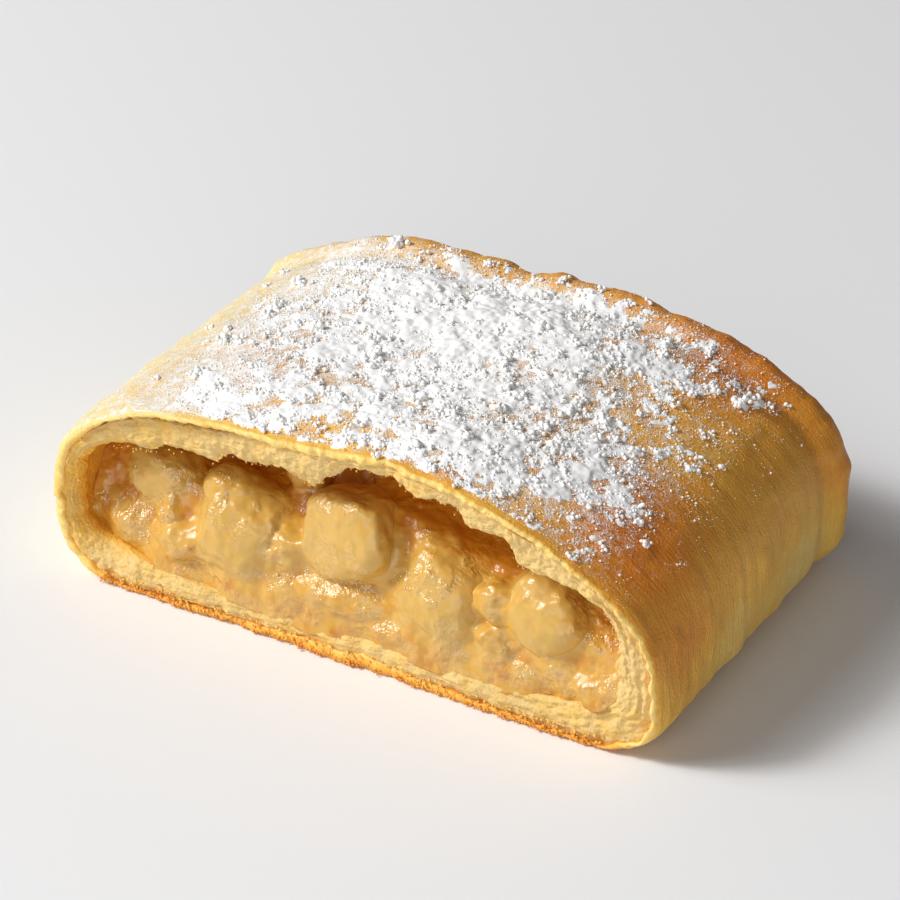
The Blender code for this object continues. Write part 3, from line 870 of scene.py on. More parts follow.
def wet_relief(points):
    """Fine relief of wet apple: small waves, and millimetre bumps where it glitters."""
    bumps = lumps(points, 0.17, 1.15, 2, 96)
    return lumps(points, 0.12, 2.2, 2, 95) + bumps * (0.08 + 0.92 * glitter(points))


# %% [markdown]
# The filling's surface
#
# From a line inside the filling, rays fan out forwards, up, back and down. Along each ray the field
# is followed until it turns positive, which is the surface; a few halvings make the place exact.
# Small lumps and syrup waves are then added along the rays.

# %% The filling from rays
CORE = (CUT_Y + 15 * MM, 12 * MM)
FILLING_ACROSS = 400
FILLING_FAN = 210
FILLING_LEFT = 51.5 * MM
FILLING_RIGHT = 48.0 * MM
# the fans stand closer together towards both ends, as the ends of a sine wave do
FAN_BEND = 0.86


def fan_angles():
    """Directions of the rays: most point at the cut and up, few point back and down."""
    turn = np.linspace(0, 1, FILLING_FAN, endpoint=False)
    front = math.radians(-38)
    top = math.radians(112)
    share = 0.80
    forward = front + (top - front) * turn / share
    behind = top + (2 * math.pi + front - top) * (turn - share) / (1 - share)
    return np.where(turn < share, forward, behind)


def follow(distance, start, direction, step, steps):
    """Way along each ray to where the distance turns positive: steps first, then halvings.

    Only the rays that are still inside go on to the next step.
    """
    high = np.full(len(start), step * steps)
    going = np.arange(len(start))
    for way in step * np.arange(1, steps + 1):
        outside = distance(start[going] + direction[going] * way) > 0
        high[going[outside]] = way
        going = going[~outside]
    low = high - step
    for _ in range(7):
        middle = 0.5 * (low + high)
        outside = distance(start + direction * middle[:, None]) > 0
        high = np.where(outside, middle, high)
        low = np.where(outside, low, middle)
    return 0.5 * (low + high)


def build_filling():
    """Rings across the filling: at each x, the ends of the rays of one fan.

    The compote's waves are full height between the chunks, and low on a chunk.
    """
    fan = fan_angles()
    direction = beside(0 * fan, -np.cos(fan), np.sin(fan))
    reach_x = np.linspace(-1, 1, FILLING_ACROSS)
    side = np.where(reach_x < 0, FILLING_LEFT, FILLING_RIGHT)
    x = side * np.sin(reach_x * math.pi / 2 * FAN_BEND) / math.sin(math.pi / 2 * FAN_BEND)
    start = beside(x, np.full_like(x, CORE[0]), np.full_like(x, CORE[1]))
    shape = (len(x), len(fan), 3)
    start = np.broadcast_to(start[:, None], shape).reshape(-1, 3)
    rays = np.broadcast_to(direction[None], shape).reshape(-1, 3)
    way = follow(filling_distance, start, rays, 1.1 * MM, 50)
    points = start + rays * way[:, None]
    visible = ramp((CUT_Y + 26 * MM - points[:, 1]) / (10 * MM))
    soft = 1 - 0.75 * ramp((0.8 * MM - nearest_apple(points)) / (1.6 * MM))
    waves = lumps(points, 0.46, 3.4, 3, 93) * soft
    way = way + (waves + wet_relief(points)) * visible - 0.1 * MM
    return (start + rays * np.clip(way, 0.5 * MM, None)[:, None]).reshape(shape)


filling_rings = build_filling()
filling_ends = [filling_rings[k].mean(axis=0) for k in (0, -1)]
filling = closed_surface("filling_mass", filling_rings, *filling_ends, wetness(filling_rings))

# %% [markdown]
# The chunks of apple
#
# Diced apple keeps flat cut sides and soft corners after stewing. Each chunk is the surface of its
# own distance: a superellipsoid, the form its solid has, planed off by a few flats, with knobs.

# %% Chunks over a grid of directions
CHUNK_LONG = 170
CHUNK_LAT = 96


def build_chunk(name, form):
    """One chunk: from its centre, the way out to where its own distance turns positive."""
    around = np.linspace(0, 2 * math.pi, CHUNK_LONG, endpoint=False)
    down = np.linspace(0.02, math.pi - 0.02, CHUNK_LAT)[:, None]
    ring = np.sin(down)
    rays = beside(ring * np.cos(around), ring * np.sin(around), np.cos(down) + 0 * around)
    flat_rays = rays.reshape(-1, 3)
    start = np.broadcast_to(form[0], flat_rays.shape)

    def knobby(points):
        return chunk_distance(points, form) - knobs(points)

    way = follow(knobby, start, flat_rays, 1 * MM, 18)
    points = start + flat_rays * way[:, None]
    points = (points + flat_rays * wet_relief(points)[:, None]).reshape(rays.shape)
    poles = [points[0].mean(axis=0), points[-1].mean(axis=0)]
    return closed_surface(f"{name}_flesh", points, *poles, wetness(points))


chunks = [build_chunk(row[0], form) for row, form in zip(CHUNKS, FORMS)]
print(len(chunks), "chunks of apple")

# %% [markdown]
# Where the icing sugar lies
#
# Sugar sifted from above lands thickly along the middle of the crown and thins out to both sides. It
# clots as it falls, so its edge isn't a line but a scatter of clots, in which the crust shows
# through. The coverage is a few broad blotches, and noise of several sizes breaks it up.

# %% Coverage of sugar
# patches with more sugar, or less where the amount is below 0
SUGARED = (
    (3, 2, 0.76, 47, 60),
    (-2, 14, 0.16, 25, 13),
    (21, -24, 0.14, 18, 9),
    (-24, -24, 0.20, 10, 9),
    (-5, -28, -0.14, 10, 7),
    (38, 8, -0.10, 8, 14),
    (40, -14, 0.22, 9, 14),
)
# clots of the sugar: weight, size in millimetres and seed of each noise
CLOTTED = ((0.40, 8, 111), (0.55, 3.1, 112), (0.34, 1.3, 113))
CROWN_RUN = np.interp(math.pi / 2, fine_angle, fine_run)
DUSTED_RUN = (-50 * MM, 56 * MM)
DUSTED_Y = (CUT_Y + 0.6 * MM, END_Y - 2.5 * MM)


def coverage(x, y):
    """How much sugar lies at a place of the crown, before noise: 0 for none, 1 for all covered."""
    amount = sum(patch(x, y, row) for row in SUGARED)
    end = 0.15 + 0.85 * ramp((END_Y - 5 * MM - y) / (8 * MM))
    edges = ramp((y - CUT_Y - 0.4 * MM) / (2 * MM)) * end
    sides = ramp((x + 45 * MM) / (13 * MM)) * ramp((56 * MM - x) / (16 * MM))
    return np.clip(amount, 0, 1) * edges * sides


def on_crown(run, y, lift=0.0):
    """Points on the crust's skin at a way from the crown's top line and at y, lifted off it."""
    angle = np.interp(CROWN_RUN - run, fine_run, fine_angle)
    return crust_points(angle, y, lift)


def clotting(points):
    """Noise that gathers the sugar in clots of 8, 3 and 1 millimetres."""
    flat = points * np.array([1, 1, 0])
    return sum(weight * noise(flat, size * MM, seed) for weight, size, seed in CLOTTED)


def sprinkle(count, draw, gathered, level):
    """Places drawn evenly over the crown and kept where coverage and clotting leave sugar.

    Returns run and y, and how far above the threshold each is. gathered is the weight of the clots.
    """
    run = draw.uniform(*DUSTED_RUN, count)
    y = draw.uniform(*DUSTED_Y, count)
    base = np.interp(CROWN_RUN - run, fine_run, fine_angle)
    x = outline_x(base)
    flat = beside(x, y, 0 * x)
    excess = coverage(x, y) + gathered * clotting(flat) - level
    keep = draw.random(count) < excess * 2.2
    return run[keep], y[keep], excess[keep]


# %% [markdown]
# The sugar's layer
#
# Where sugar lies thickly it is one rough white layer. It is made as a second skin over the crown:
# thousands of small domes are drawn, and at each point of a fine grid the highest dome counts. Away
# from every dome the skin dips just under the crust, so the layer ends where its domes end.

# %% The layer as the highest of many domes
LAYER_RUN = (-41 * MM, 47 * MM)
LAYER_Y = (CUT_Y + 1.2 * MM, END_Y - 5 * MM)
LAYER_PITCH = 0.26 * MM
LAYER_SEED = 31
LAYER_DRAWS = 42000
# weight of clotting, and the threshold
LAYER_CLOTTED = (0.75, 0.46)
SUNK = 0.16 * MM
# the closing loops' place off the skin, and their shares of the grid's border
UNDERSIDE = -1.0 * MM
CLOSING = (0.97, 0.9, 0.8, 0.65, 0.5, 0.35, 0.2, 0.06)


def dome_heights(run_grid, y_grid, run, y, size):
    """Height of the highest dome over each grid point: 0.58 (root(size^2 - distance^2) - size / 4)."""
    height = np.full((len(run_grid), len(y_grid)), -SUNK)
    i = np.rint((run - run_grid[0]) / LAYER_PITCH).astype(int)
    j = np.rint((y - y_grid[0]) / LAYER_PITCH).astype(int)
    span = int(size.max() / LAYER_PITCH) + 1
    for di, dj in product(range(-span, span + 1), repeat=2):
        a = i + di
        b = j + dj
        inside = (a >= 0) & (a < len(run_grid)) & (b >= 0) & (b < len(y_grid))
        a, b, r, u, v = a[inside], b[inside], size[inside], run[inside], y[inside]
        gone = (run_grid[a] - u) ** 2 + (y_grid[b] - v) ** 2
        near = gone < r**2
        dome = 0.58 * (np.sqrt(r[near] ** 2 - gone[near]) - 0.25 * r[near])
        np.maximum.at(height, (a[near], b[near]), dome)
    return height


def build_layer():
    """The dome skin on top, closed below by a few shrinking loops inside the crust."""
    draw = np.random.default_rng(LAYER_SEED)
    run_grid = np.arange(*LAYER_RUN, LAYER_PITCH)
    y_grid = np.arange(*LAYER_Y, LAYER_PITCH)
    run, y, excess = sprinkle(LAYER_DRAWS, draw, *LAYER_CLOTTED)
    size = draw.uniform(0.22, 0.46, len(run)) * MM * (0.75 + 1.1 * np.clip(excess, 0, 0.8))
    height = dome_heights(run_grid, y_grid, run, y, size)
    u, v = np.meshgrid(run_grid, y_grid, indexing="ij")
    skin = on_crown(u, v)
    gathered, level = LAYER_CLOTTED
    excess = coverage(skin[..., 0], v) + gathered * clotting(skin) - level
    pile = 0.60 * MM * ramp((excess - 0.02) / 0.8)
    height = np.maximum(height + pile, pile - SUNK * (1 - 1.6 * ramp(excess / 0.14)))
    height[[0, -1], :] = -SUNK
    height[:, [0, -1]] = -SUNK
    fluff = (0.17 * noise(skin, 1.2 * MM, 114) + 0.13 * noise(skin, 0.6 * MM, 115)) * MM * (height > 0)
    top = on_crown(u, v, height + fluff)
    rows, columns = u.shape
    index = np.arange(rows * columns).reshape(rows, columns)
    quads = beside(index[:-1, :-1], index[1:, :-1], index[1:, 1:], index[:-1, 1:])
    loop = np.concatenate([index[0, :-1], index[:-1, -1], index[-1, :0:-1], index[:0:-1, 0]])
    middle = (0.5 * (run_grid[0] + run_grid[-1]), 0.5 * (y_grid[0] + y_grid[-1]))
    around_run = u.ravel()[loop]
    around_y = v.ravel()[loop]
    points = [top.reshape(-1, 3)]
    faces = quads.reshape(-1, 4).tolist()
    start = rows * columns
    previous = loop
    for k, share in enumerate(CLOSING):
        points.append(on_crown(middle[0] + (around_run - middle[0]) * share,
                               middle[1] + (around_y - middle[1]) * share, UNDERSIDE))
        current = start + k * len(loop) + np.arange(len(loop))
        band = beside(previous, np.roll(previous, -1), np.roll(current, -1), current)
        faces += band.tolist()
        previous = current
    pole = start + len(CLOSING) * len(loop)
    points.append(on_crown(np.array([middle[0]]), np.array([middle[1]]), UNDERSIDE))
    faces += [(int(a), int(b), pole) for a, b in zip(previous, np.roll(previous, -1))]
    return put_mesh("sugar_layer", np.concatenate(points), faces)


sugar_layer = build_layer()

x, y, z = np.moveaxis(crust_rings, -1, 0)
# sugar dust, and extra whitening at the left of the crown that is painted light where the key light washes
# it out
dust_and_painted_light = coverage(x, y) + 0.62 * bell(x + 43 * MM, 17 * MM) + 0.08
dust_and_painted_light = dust_and_painted_light * ramp((z - 18 * MM) / (8 * MM)) * crust_layer
keep_values(crust, {"dust": np.append(dust_and_painted_light, [0, 0])})

# %% [markdown]
# Loose sugar
#
# Round the layer lie clots, grains and dust. One knobbly ball is repeated for each size, turned and
# squashed at random, and all of one size are joined in one mesh. The finer they are, the fewer faces
# each one has. The largest clots lie exactly where the solid has them.

# %% Many small blobs in one mesh


def ball(levels):
    """Corners and triangles of a ball: an octahedron, or for levels 1 and 2 an icosphere."""
    if levels == 0:
        corners = np.array([(1, 0, 0), (-1, 0, 0), (0, 1, 0), (0, -1, 0), (0, 0, 1), (0, 0, -1)], float)
        faces = [(0, 2, 4), (2, 1, 4), (1, 3, 4), (3, 0, 4), (2, 0, 5), (1, 2, 5), (3, 1, 5), (0, 3, 5)]
        return corners, np.array(faces)
    bpy.ops.mesh.primitive_ico_sphere_add(subdivisions=levels, radius=1)
    made = bpy.context.object
    corners = np.array([v.co for v in made.data.vertices])
    faces = np.array([list(p.vertices) for p in made.data.polygons])
    bpy.data.objects.remove(made)
    return corners, faces


def random_turns(count, draw):
    """That many turns as matrices, from unit quaternions of normal draws."""
    q = draw.normal(size=(count, 4))
    w, x, y, z = (q / np.linalg.norm(q, axis=1)[:, None]).T
    rows = [
        [1 - 2 * (y * y + z * z), 2 * (x * y - z * w), 2 * (x * z + y * w)],
        [2 * (x * y + z * w), 1 - 2 * (x * x + z * z), 2 * (y * z - x * w)],
        [2 * (x * z - y * w), 2 * (y * z + x * w), 1 - 2 * (x * x + y * y)],
    ]
    return np.moveaxis(np.array(rows), -1, 0)


def blobs(name, centres, sizes, levels, draw, uneven=0.22, squash=0.25, values=None):
    """One mesh of many balls: each corner of each ball is drawn in or out, then squashed and turned."""
    corners, faces = ball(levels)
    count = len(centres)
    shape = corners[None] * (1 + draw.uniform(-uneven, uneven, (count, len(corners), 1)))
    shape = shape * (1 - draw.uniform(0, squash, (count, 1, 3)))
    shape = np.einsum("nij,nkj->nki", random_turns(count, draw), shape)
    points = centres[:, None] + shape * sizes[:, None, None]
    joined = faces[None] + (np.arange(count) * len(corners))[:, None, None]
    kept = {key: np.repeat(numbers, len(corners)) for key, numbers in (values or {}).items()}
    return put_mesh(name, points.reshape(-1, 3), joined.reshape(-1, 3).tolist(), kept)


def settle(run, y, size, sink, draw):
    """Centres of blobs that lie on the crust, some of them on one another, each sunk by its share."""
    stack = draw.exponential(0.35, len(run)) * size
    return on_crown(run, y, size * (1 - sink) - 0.1 * size + stack)


# %% Clots, grains and dust
CLOT_SEED = 41
SOLID_SEED = 11
SOLID_CLUMPS = 70
SOLID_SIZE = (0.75 * MM, 1.45 * MM)
SOLID_X = (-46 * MM, 50 * MM)
SOLID_Y = (-32 * MM, 31 * MM)
SOLID_SPACE = 0.5 * MM
SOLID_BAND = (2 * MM, 30 * MM)
CLUMP_DRAWS = 15
# weight of clotting, and the threshold
CLOTS_CLOTTED = (0.75, 0.20)
# balls in each of the solid's clumps, and in each of the small clots
LUMP_MEMBERS = 26
CLOT_MEMBERS = 5
CLOT_DRAWS = 26000
CLOTS = 480
# name, places drawn, weight of clotting, threshold, pieces kept, sizes in millimetres, ball
LOOSE = (
    ("sugar_grains", 90000, 0.62, 0.20, 9000, (0.10, 0.24), 1),
    ("sugar_dust", 200000, 0.45, 0.05, 23000, (0.05, 0.12), 0),
)


def solid_clumps():
    """The rule that placed the solid's clumps: x, y and size of each, from the same draws."""
    draw = np.random.default_rng(SOLID_SEED)
    placed = []
    middle, spread = SOLID_BAND
    while len(placed) < SOLID_CLUMPS:
        x = draw.uniform(*SOLID_X)
        y = draw.uniform(*SOLID_Y)
        size = draw.uniform(*SOLID_SIZE)
        density = bell(x - middle, spread) * ramp((y - CUT_Y) / (5 * MM))
        density = density * ramp((END_Y - 4 * MM - y) / (8 * MM))
        if draw.random() > density:
            continue
        if any(math.hypot(x - u, y - v) < size + w + SOLID_SPACE for u, v, w in placed):
            continue
        placed.append((x, y, size))
        draw.uniform(size=CLUMP_DRAWS)
    return np.array(placed)


def run_of(x):
    """Way along the outline from the crown's top line to a place across it."""
    crown = np.linspace(0.02, math.pi - 0.02, 2001)
    across = outline_x(crown)
    return CROWN_RUN - run_at(np.interp(x, across[::-1], crown[::-1]))


def build_sugar():
    """Loose sugar in four sizes, each one joined mesh."""
    draw = np.random.default_rng(CLOT_SEED)
    made = []

    solid = solid_clumps()
    spread = draw.normal(size=(len(solid), LUMP_MEMBERS, 3)) * np.array([0.46, 0.46, 0.26])
    heart = on_crown(run_of(solid[:, 0]), solid[:, 1], 0.25 * solid[:, 2])
    places = heart[:, None] + spread * solid[:, 2][:, None, None]
    sizes = draw.uniform(0.26, 0.5, (len(solid), LUMP_MEMBERS)) * solid[:, 2][:, None]
    made.append(blobs("sugar_lumps", places.reshape(-1, 3), sizes.ravel(), 2, draw))

    run, y, _ = sprinkle(CLOT_DRAWS, draw, *CLOTS_CLOTTED)
    count = len(run[:CLOTS])
    spread = draw.normal(size=(count, CLOT_MEMBERS, 2)) * 0.42 * MM
    size = draw.uniform(0.20, 0.42, (count, CLOT_MEMBERS)).ravel() * MM
    run = (run[:CLOTS, None] + spread[..., 0]).ravel()
    y = (y[:CLOTS, None] + spread[..., 1]).ravel()
    made.append(blobs("sugar_clots", settle(run, y, size, 0.25, draw), size, 2, draw))

    for name, draws, gathered, level, count, sizes, levels in LOOSE:
        run, y, _ = sprinkle(draws, draw, gathered, level)
        run = run[:count]
        y = y[:count]
        size = draw.uniform(*sizes, len(run)) * MM
        made.append(blobs(name, settle(run, y, size, 0.3, draw), size, levels, draw))
    return made


sugar = build_sugar()

# %% [markdown]
# Crumbs and glint beads
#
# The knife tears crumbs from the baked base and from the rims, and they stick where they break off.
# On the wet filling, syrup gathers in tiny beads and bubbles. Here they are pale cream and set where
# the key light's reflection falls, so they are painted glints as well as beads.

# %% Crumbs along the torn edges
CRUMB_SEED = 61
BASE_CRUMBS = 1300
RIM_CRUMBS = 600


def build_crumbs():
    """Crumbs along the base's cut edge, and finer ones along the lip and the sheet's edge."""
    draw = np.random.default_rng(CRUMB_SEED)
    count = BASE_CRUMBS
    x = draw.uniform(-47, 46, count) * MM
    z = draw.exponential(0.7, count) * MM + 0.15 * MM
    z = np.minimum(z, 2.2 * MM)
    size = draw.uniform(0.12, 0.34, count) * MM
    angle = np.arctan2(z - AXIS_Z, x)
    y = cut_front(angle) + draw.normal(0.05, 0.22, count) * MM
    base = beside(x, y, np.maximum(z, 1.35 * size))

    count = RIM_CRUMBS
    angle = draw.uniform(-0.5, math.pi + 0.4, count)
    along_lip = draw.random(count) < 0.6
    lip = ragged_lip(angle) + draw.normal(0.2, 0.3, count) * MM
    sheet = crust_outside(angle, cut_front(angle)) - edge_softness(angle)
    sheet = sheet - 0.7 * sheet_thickness(angle) * draw.uniform(0.3, 1, count)
    radius = np.where(along_lip, lip, sheet)
    y = np.where(along_lip, cut_front(angle) + draw.uniform(0.7, 1.9, count) * MM, cut_front(angle))
    rim = spot(angle, radius, y)
    centres = np.concatenate([base, rim])
    sizes = np.concatenate([size, draw.uniform(0.06, 0.19, count) * MM])
    brown = draw.uniform(0.05, 0.25, len(centres)) + 0.5 * scorched(centres)
    return blobs("crumbs", centres, sizes, 1, draw, 0.3, 0.4, {"bake": brown})


crumbs = build_crumbs()

# %% Pale beads on the filling, painted glints
GLINT_SEED = 71
GLINT_CLUSTERS = 46
GLINT_BEADS_EACH = 11
# the direction halfway between the key light and the camera: where the filling faces it, the key light's
# reflection falls
KEY_GLINT_HALFWAY = np.array([-0.14, -0.69, 0.71])


def build_glint_beads():
    """Tight clusters of small pale beads and bubbles where the key light's reflection falls: painted
    glints.

    Such a place is where the surface, taken across its grid, faces halfway between the key light and
    the camera, in the wet patches; round each chosen place, points of the surface are drawn by a bell
    curve of distance.
    """
    draw = np.random.default_rng(GLINT_SEED)
    across = slice(6, FILLING_ACROSS - 6)
    fan = slice(int(FILLING_FAN * 0.04), int(FILLING_FAN * 0.62))
    grid = filling_rings[across, fan]
    facing = np.cross(np.gradient(grid, axis=0), np.gradient(grid, axis=1))
    facing /= np.linalg.norm(facing, axis=-1)[..., None]
    glint_spots = np.abs(facing @ KEY_GLINT_HALFWAY) * (glitter(grid) > 0.3) > 0.93
    surface = grid.reshape(-1, 3)
    hearts = surface[draw.choice(np.flatnonzero(glint_spots.ravel()), GLINT_CLUSTERS, replace=False)]
    chosen = []
    for heart in hearts:
        weight = bell(np.linalg.norm(surface - heart, axis=1), 0.8 * MM)
        chosen.append(draw.choice(len(surface), GLINT_BEADS_EACH, replace=False, p=weight / weight.sum()))
    centres = surface[np.concatenate(chosen)]
    centres = centres + draw.uniform(-0.12, 0.12, centres.shape) * MM
    size = draw.uniform(0.06, 0.20, len(centres)) * MM
    return blobs("painted_glint_beads", centres, size, 2, draw, 0.06, 0.2)


beads = build_glint_beads()

# %% [markdown]
# Finishes
#
# Every finish is one main shader and a few nodes in front of it. Noise in the piece's own coordinates
# breaks up the colour, and the values kept on the mesh say where it is baked, soaked or dusted, and
# where light and shade are painted into the colour. Dough and apple let a little light in, and it
# comes out less than a millimetre away.

# %% Helpers for finishes


def finish(name, **values):
    """A new material with these values on its main shader; an underscore stands for a space."""
    material = bpy.data.materials.new(name)
    material.use_nodes = True
    main = material.node_tree.nodes["Principled BSDF"]
    for key, value in values.items():
        main.inputs[key.replace("_", " ")].default_value = value
    return material, material.node_tree, main


def add(tree, kind, inputs, output=0, **settings):
    """One output of a new node; inputs gives sockets either values or other nodes' outputs."""
    made = tree.nodes.new(kind)
    for key, value in settings.items():
        setattr(made, key, value)
    for key, value in inputs.items():
        if isinstance(value, bpy.types.NodeSocket):
            tree.links.new(value, made.inputs[key])
        else:
            made.inputs[key].default_value = value
    return made.outputs[output]


def grain(tree, size, detail=2.0, stretch=(1, 1, 1)):
    """Noise with lumps of that size, drawn out along the axes where stretch is over 1."""
    place = add(tree, "ShaderNodeTexCoord", {}, "Object")
    scale = tuple(1 / (size * s) for s in stretch)
    scaled = add(tree, "ShaderNodeVectorMath", {0: place, 1: scale}, operation="MULTIPLY")
    return add(tree, "ShaderNodeTexNoise", {"Vector": scaled, "Scale": 1.0, "Detail": detail})


def sum_of(tree, base, *terms):
    """base + the sum of (value - 0.5) x weight over the terms, kept within 0 to 1."""
    total = base
    for value, weight in terms:
        centred = add(tree, "ShaderNodeMath", {0: value, 1: 0.5}, operation="SUBTRACT")
        total = add(tree, "ShaderNodeMath", {0: centred, 1: weight, 2: total}, operation="MULTIPLY_ADD")
    return add(tree, "ShaderNodeClamp", {"Value": total})


def step_up(tree, value, low, high):
    """0 below low, 1 above high, straight between."""
    return add(tree, "ShaderNodeMapRange", {"Value": value, "From Min": low, "From Max": high})


def kept(tree, name):
    """The value that the mesh keeps under that name."""
    return add(tree, "ShaderNodeAttribute", {}, "Fac", attribute_name=name)


def colours(tree, share, stops):
    """A colour ramp through (share, red, green, blue) stops."""
    made = tree.nodes.new("ShaderNodeValToRGB")
    tree.links.new(share, made.inputs[0])
    elements = made.color_ramp.elements
    while len(elements) < len(stops):
        elements.new(0.5)
    for element, (place, *rgb) in zip(elements, stops):
        element.position = place
        element.color = (*rgb, 1)
    return made.outputs[0]


def mix(tree, share, first, second):
    """A blend of two colours: the first where share is 0, the second where it is 1."""
    made = tree.nodes.new("ShaderNodeMix")
    made.data_type = "RGBA"
    for socket, value in ((made.inputs[0], share), (made.inputs[6], first), (made.inputs[7], second)):
        if isinstance(value, bpy.types.NodeSocket):
            tree.links.new(value, socket)
        else:
            socket.default_value = (*value, 1)
    return made.outputs[2]


def emboss(tree, main, height, depth):
    """Shade fine relief, and give its bump back: height in 0 to 1 stands for that depth in metres."""
    bump = add(tree, "ShaderNodeBump", {"Height": height, "Distance": depth, "Strength": 1.0})
    tree.links.new(bump, main.inputs["Normal"])
    return bump


# %% [markdown]
# Baked dough
#
# The crust's colour follows its browning from pale straw to dark brown. Fine speckles, and lines that
# run round the sides as the dough was stretched, break it up, and dust of sugar whitens it on top; at
# the left of the crown the paler tone and the extra whitening are also painted light, where the key
# light washes the crust out. The inner dough is paler and duller, and turns to amber where syrup has
# soaked in; behind the lip, in the hollow, that amber is also painted shade, and at the left the
# dough is painted brighter, where light shines through it.

# %% Crust and inner dough
BAKED = (
    (0.00, 0.93, 0.70, 0.250),
    (0.25, 0.92, 0.535, 0.090),
    (0.52, 0.83, 0.365, 0.044),
    (0.78, 0.71, 0.225, 0.023),
    (1.00, 0.42, 0.12, 0.014),
)
# the middle stop is brighter: painted light at the left; the last stop is soak and painted shade in the
# hollow
SOAK_LIGHT_SHADE = ((0.0, 0.78, 0.550, 0.215), (0.45, 0.88, 0.53, 0.100), (1.0, 0.86, 0.38, 0.026))
WHITE = (0.96, 0.95, 0.935)
# a little light goes in and comes out less than a millimetre away
SOFT = {"Subsurface_Scale": 0.0008, "Subsurface_Radius": (1, 0.8, 0.5)}


def crust_finish():
    """Browning with speckles, stretch lines, dark specks and a dust of sugar; at the left of the crown the
    dust and a paler tone are also painted light.
    """
    material, tree, main = finish("crust", Roughness=0.5, Subsurface_Weight=0.1,
                                  Specular_IOR_Level=0.35, **SOFT)
    fine = grain(tree, 0.45 * MM, 3)
    broad = grain(tree, 2.2 * MM, 2)
    lines = grain(tree, 0.42 * MM, 2, (9, 1, 9))
    share = sum_of(tree, kept(tree, "bake"), (fine, 0.20), (broad, 0.22), (lines, 0.22))
    colour = colours(tree, share, BAKED)
    specks = step_up(tree, grain(tree, 0.7 * MM, 1), 0.74, 0.80)
    colour = mix(tree, specks, colour, (0.50, 0.20, 0.04))
    flecks = grain(tree, 0.24 * MM, 2)
    blotches = grain(tree, 1.4 * MM, 2)
    # the dust is whiter at the left of the crown: painted light as well as sugar
    powder_and_painted_light = sum_of(tree, kept(tree, "dust"), (flecks, 1.5), (blotches, 1.1))
    powder_and_painted_light = step_up(tree, powder_and_painted_light, 0.48, 1.0)
    tree.links.new(mix(tree, powder_and_painted_light, colour, WHITE), main.inputs["Base Color"])
    emboss(tree, main, sum_of(tree, fine, (lines, 0.8), (powder_and_painted_light, 0.6)), 0.16 * MM)
    return material


def dough_finish():
    """Cream dough, amber where soaked and where shade is painted in the hollow, painted brighter at the
    left, brown in its lowest seam, with pores and grains.
    """
    material, tree, main = finish("inner_dough", Roughness=0.66, Subsurface_Weight=0.1,
                                  Specular_IOR_Level=0.3, **SOFT)
    fine = grain(tree, 0.5 * MM, 3)
    broad = grain(tree, 3 * MM, 2)
    # soak, with painted light at the left and painted shade in the hollow
    wet = sum_of(tree, kept(tree, "soak_light_shade"), (fine, 0.35), (broad, 0.5))
    colour = colours(tree, wet, SOAK_LIGHT_SHADE)
    brown = sum_of(tree, kept(tree, "bake"), (fine, 0.5))
    tree.links.new(mix(tree, brown, colour, (0.66, 0.30, 0.065)), main.inputs["Base Color"])
    emboss(tree, main, sum_of(tree, fine, (broad, 0.3)), 0.30 * MM)
    return material


def crumb_finish():
    """Crumbs from pale to brown, by the browning where each one lies."""
    material, tree, main = finish("crumb", Roughness=0.7)
    share = sum_of(tree, kept(tree, "bake"), (grain(tree, 0.8 * MM, 2), 0.6))
    tree.links.new(colours(tree, share, BAKED), main.inputs["Base Color"])
    return material


crust_material = crust_finish()
dough_material = dough_finish()
crumb_material = crumb_finish()

# %% [markdown]
# Stewed apple and sugar
#
# Apple and syrup are one wet, translucent mass: the share of apple in a place sets how pale it is,
# and further back in the hollow it is lowered, which paints shade as darker syrup. A thin clear coat
# gives the wet shine, and small bumps break it into glitter. Icing sugar is white and fully rough,
# and light that goes from grain to grain keeps its hollows bright.

# %% Apple, syrup and sugar
# the first stop is dark syrup, and also the painted shade further back in the hollow
STEWED_AND_SHADED = ((0.0, 0.54, 0.195, 0.009), (0.5, 0.66, 0.345, 0.045), (1.0, 0.65, 0.395, 0.083))


def filling_finish(name, shine):
    """Apple to syrup, with painted shade in the hollow, by the kept share; a wet coat lies on its bumpy
    patches, and thinly elsewhere.
    """
    material, tree, main = finish(name, Roughness=0.42, Subsurface_Weight=0.12,
                                  Coat_IOR=1.7, Coat_Roughness=0.08, **SOFT)
    fine = grain(tree, 0.6 * MM, 2)
    broad = grain(tree, 2.6 * MM, 3)
    share = sum_of(tree, kept(tree, "apple"), (fine, 0.35), (broad, 0.9))
    tree.links.new(colours(tree, share, STEWED_AND_SHADED), main.inputs["Base Color"])
    wet = kept(tree, "wet")
    coat = add(tree, "ShaderNodeMapRange", {"Value": wet, "To Min": 0.35, "To Max": shine})
    tree.links.new(coat, main.inputs["Coat Weight"])
    bumps = add(tree, "ShaderNodeMath", {0: fine, 1: wet}, operation="MULTIPLY")
    bump = emboss(tree, main, sum_of(tree, bumps, (fine, 0.25)), 0.20 * MM)
    tree.links.new(bump, main.inputs["Coat Normal"])
    return material


flesh_material = filling_finish("stewed_apple", 0.9)
syrup_material = filling_finish("apple_syrup", 1.0)
# pale cream beads with a clear coat: painted glints on the syrup
glint_bead_material = finish("painted_glint_bead", Base_Color=(0.93, 0.78, 0.50, 1), Roughness=0.3, Coat_Weight=1.0,
                       Coat_Roughness=0.08)[0]
sugar_material = finish("icing_sugar", Base_Color=(*WHITE, 1), Roughness=1.0, Specular_IOR_Level=0.1)[0]

# %% [markdown]
# Putting the slice together
#
# Each new piece takes its finish and rides on an empty for the slice's body. The imported node that
# it stands for is then hidden. The imported node is then hidden, and stays the one that is weighed
# and touched.

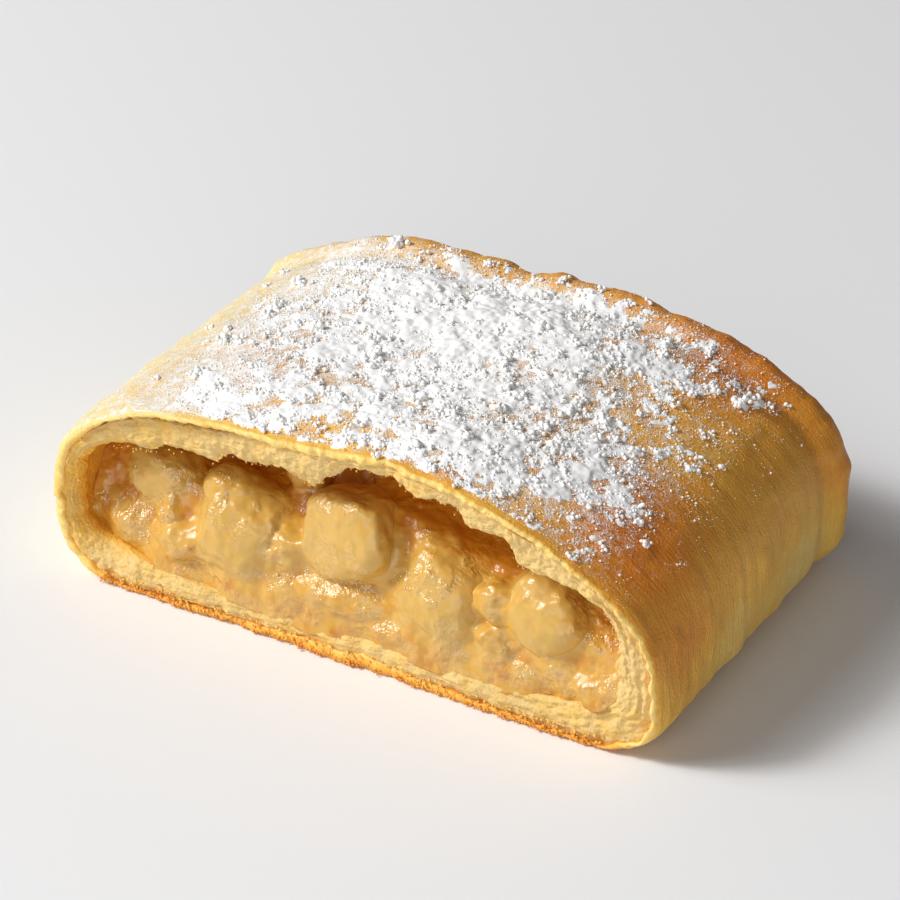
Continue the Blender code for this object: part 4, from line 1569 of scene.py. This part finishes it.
# %% Finishes, bodies and nodes
DRESS = [
    (crust, crust_material, "baked_pastry", ["pastry"]),
    (inner_dough, dough_material, "baked_pastry", ["pastry"]),
    (filling, syrup_material, "apple_syrup", ["filling"]),
    (crumbs, crumb_material, "baked_pastry", []),
    # the pale beads are painted glints
    (beads, glint_bead_material, "apple_syrup", []),
]
DRESS += [(chunk, flesh_material, "stewed_apple", [row[0]]) for chunk, row in zip(chunks, CHUNKS)]
DRESS += [(piece, sugar_material, "baked_pastry", []) for piece in [sugar_layer, *sugar]]
for piece, material, slot, nodes in DRESS:
    piece.data.materials.append(material)
    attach(piece, "root")
    if nodes:
        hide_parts(*nodes)
print(len(DRESS), "pieces ride on the slice")

# %% [markdown]
# Floor, light and camera
#
# The photo was taken close, from the right and from above, with a large soft light at the left and a
# weaker one in front. A smaller, brighter light in the direction of the large one makes the glints.
# A pale floor gives back light from below, as the table in the photo does.

# %% The studio


def soft_light(name, towards, distance, size, power):
    """A square light that shines at the middle of the slice from a direction."""
    data = bpy.data.lights.new(name, "AREA")
    data.size = size
    data.energy = power
    lamp = bpy.data.objects.new(name, data)
    back = Vector(towards).normalized()
    lamp.location = Vector((0, 0, 0.02)) + back * distance
    lamp.rotation_euler = back.to_track_quat("Z", "Y").to_euler()
    bpy.context.scene.collection.objects.link(lamp)


FROM_LEFT = (-0.66, -0.38, 0.64)
soft_light("key", FROM_LEFT, 2.0, 1.06, 24.5)
soft_light("glint", FROM_LEFT, 2.0, 0.37, 18.8)
soft_light("fill", (0.25, -0.80, 0.25), 0.80, 0.60, 2.1)

world = bpy.data.worlds.new("studio")
world.use_nodes = True
world.node_tree.nodes["Background"].inputs["Color"].default_value = (1, 1, 1, 1)
world.node_tree.nodes["Background"].inputs["Strength"].default_value = 0.11
bpy.context.scene.world = world
bpy.context.scene.view_settings.view_transform = "Standard"

FLOOR_HALF = 2.0
FLOOR_Z = -0.0001
corners = FLOOR_HALF * np.array([(-1, -1), (1, -1), (1, 1), (-1, 1)])
floor = put_mesh("floor", np.array([(x, y, FLOOR_Z) for x, y in corners]), [(0, 1, 2, 3)])
floor_material = finish("floor", Base_Color=(0.9, 0.9, 0.905, 1), Roughness=0.9, Specular_IOR_Level=0.2)[0]
floor.data.materials.append(floor_material)

# %% The camera at the photo's view
AZIMUTH = math.radians(30.3)
ELEVATION = math.radians(31.1)
# the camera's place in metres, in the frame that the solids were drawn in
STAND = (0.23630541, -0.40495279, 0.30470787)
level = math.cos(ELEVATION)
back = Vector((math.sin(AZIMUTH) * level, -math.cos(AZIMUTH) * level, math.sin(ELEVATION)))
right = Vector((math.cos(AZIMUTH), math.sin(AZIMUTH), 0))
turn = Matrix((right, back.cross(right), back)).transposed().to_4x4()
lens = bpy.data.cameras.new("view")
lens.lens = 135
lens.sensor_width = 36
camera = bpy.data.objects.new("view", lens)
camera.matrix_world = Matrix.Translation(Vector(STAND) + Vector(FRAME_SHIFT)) @ turn
bpy.context.scene.collection.objects.link(camera)
bpy.context.scene.camera = camera
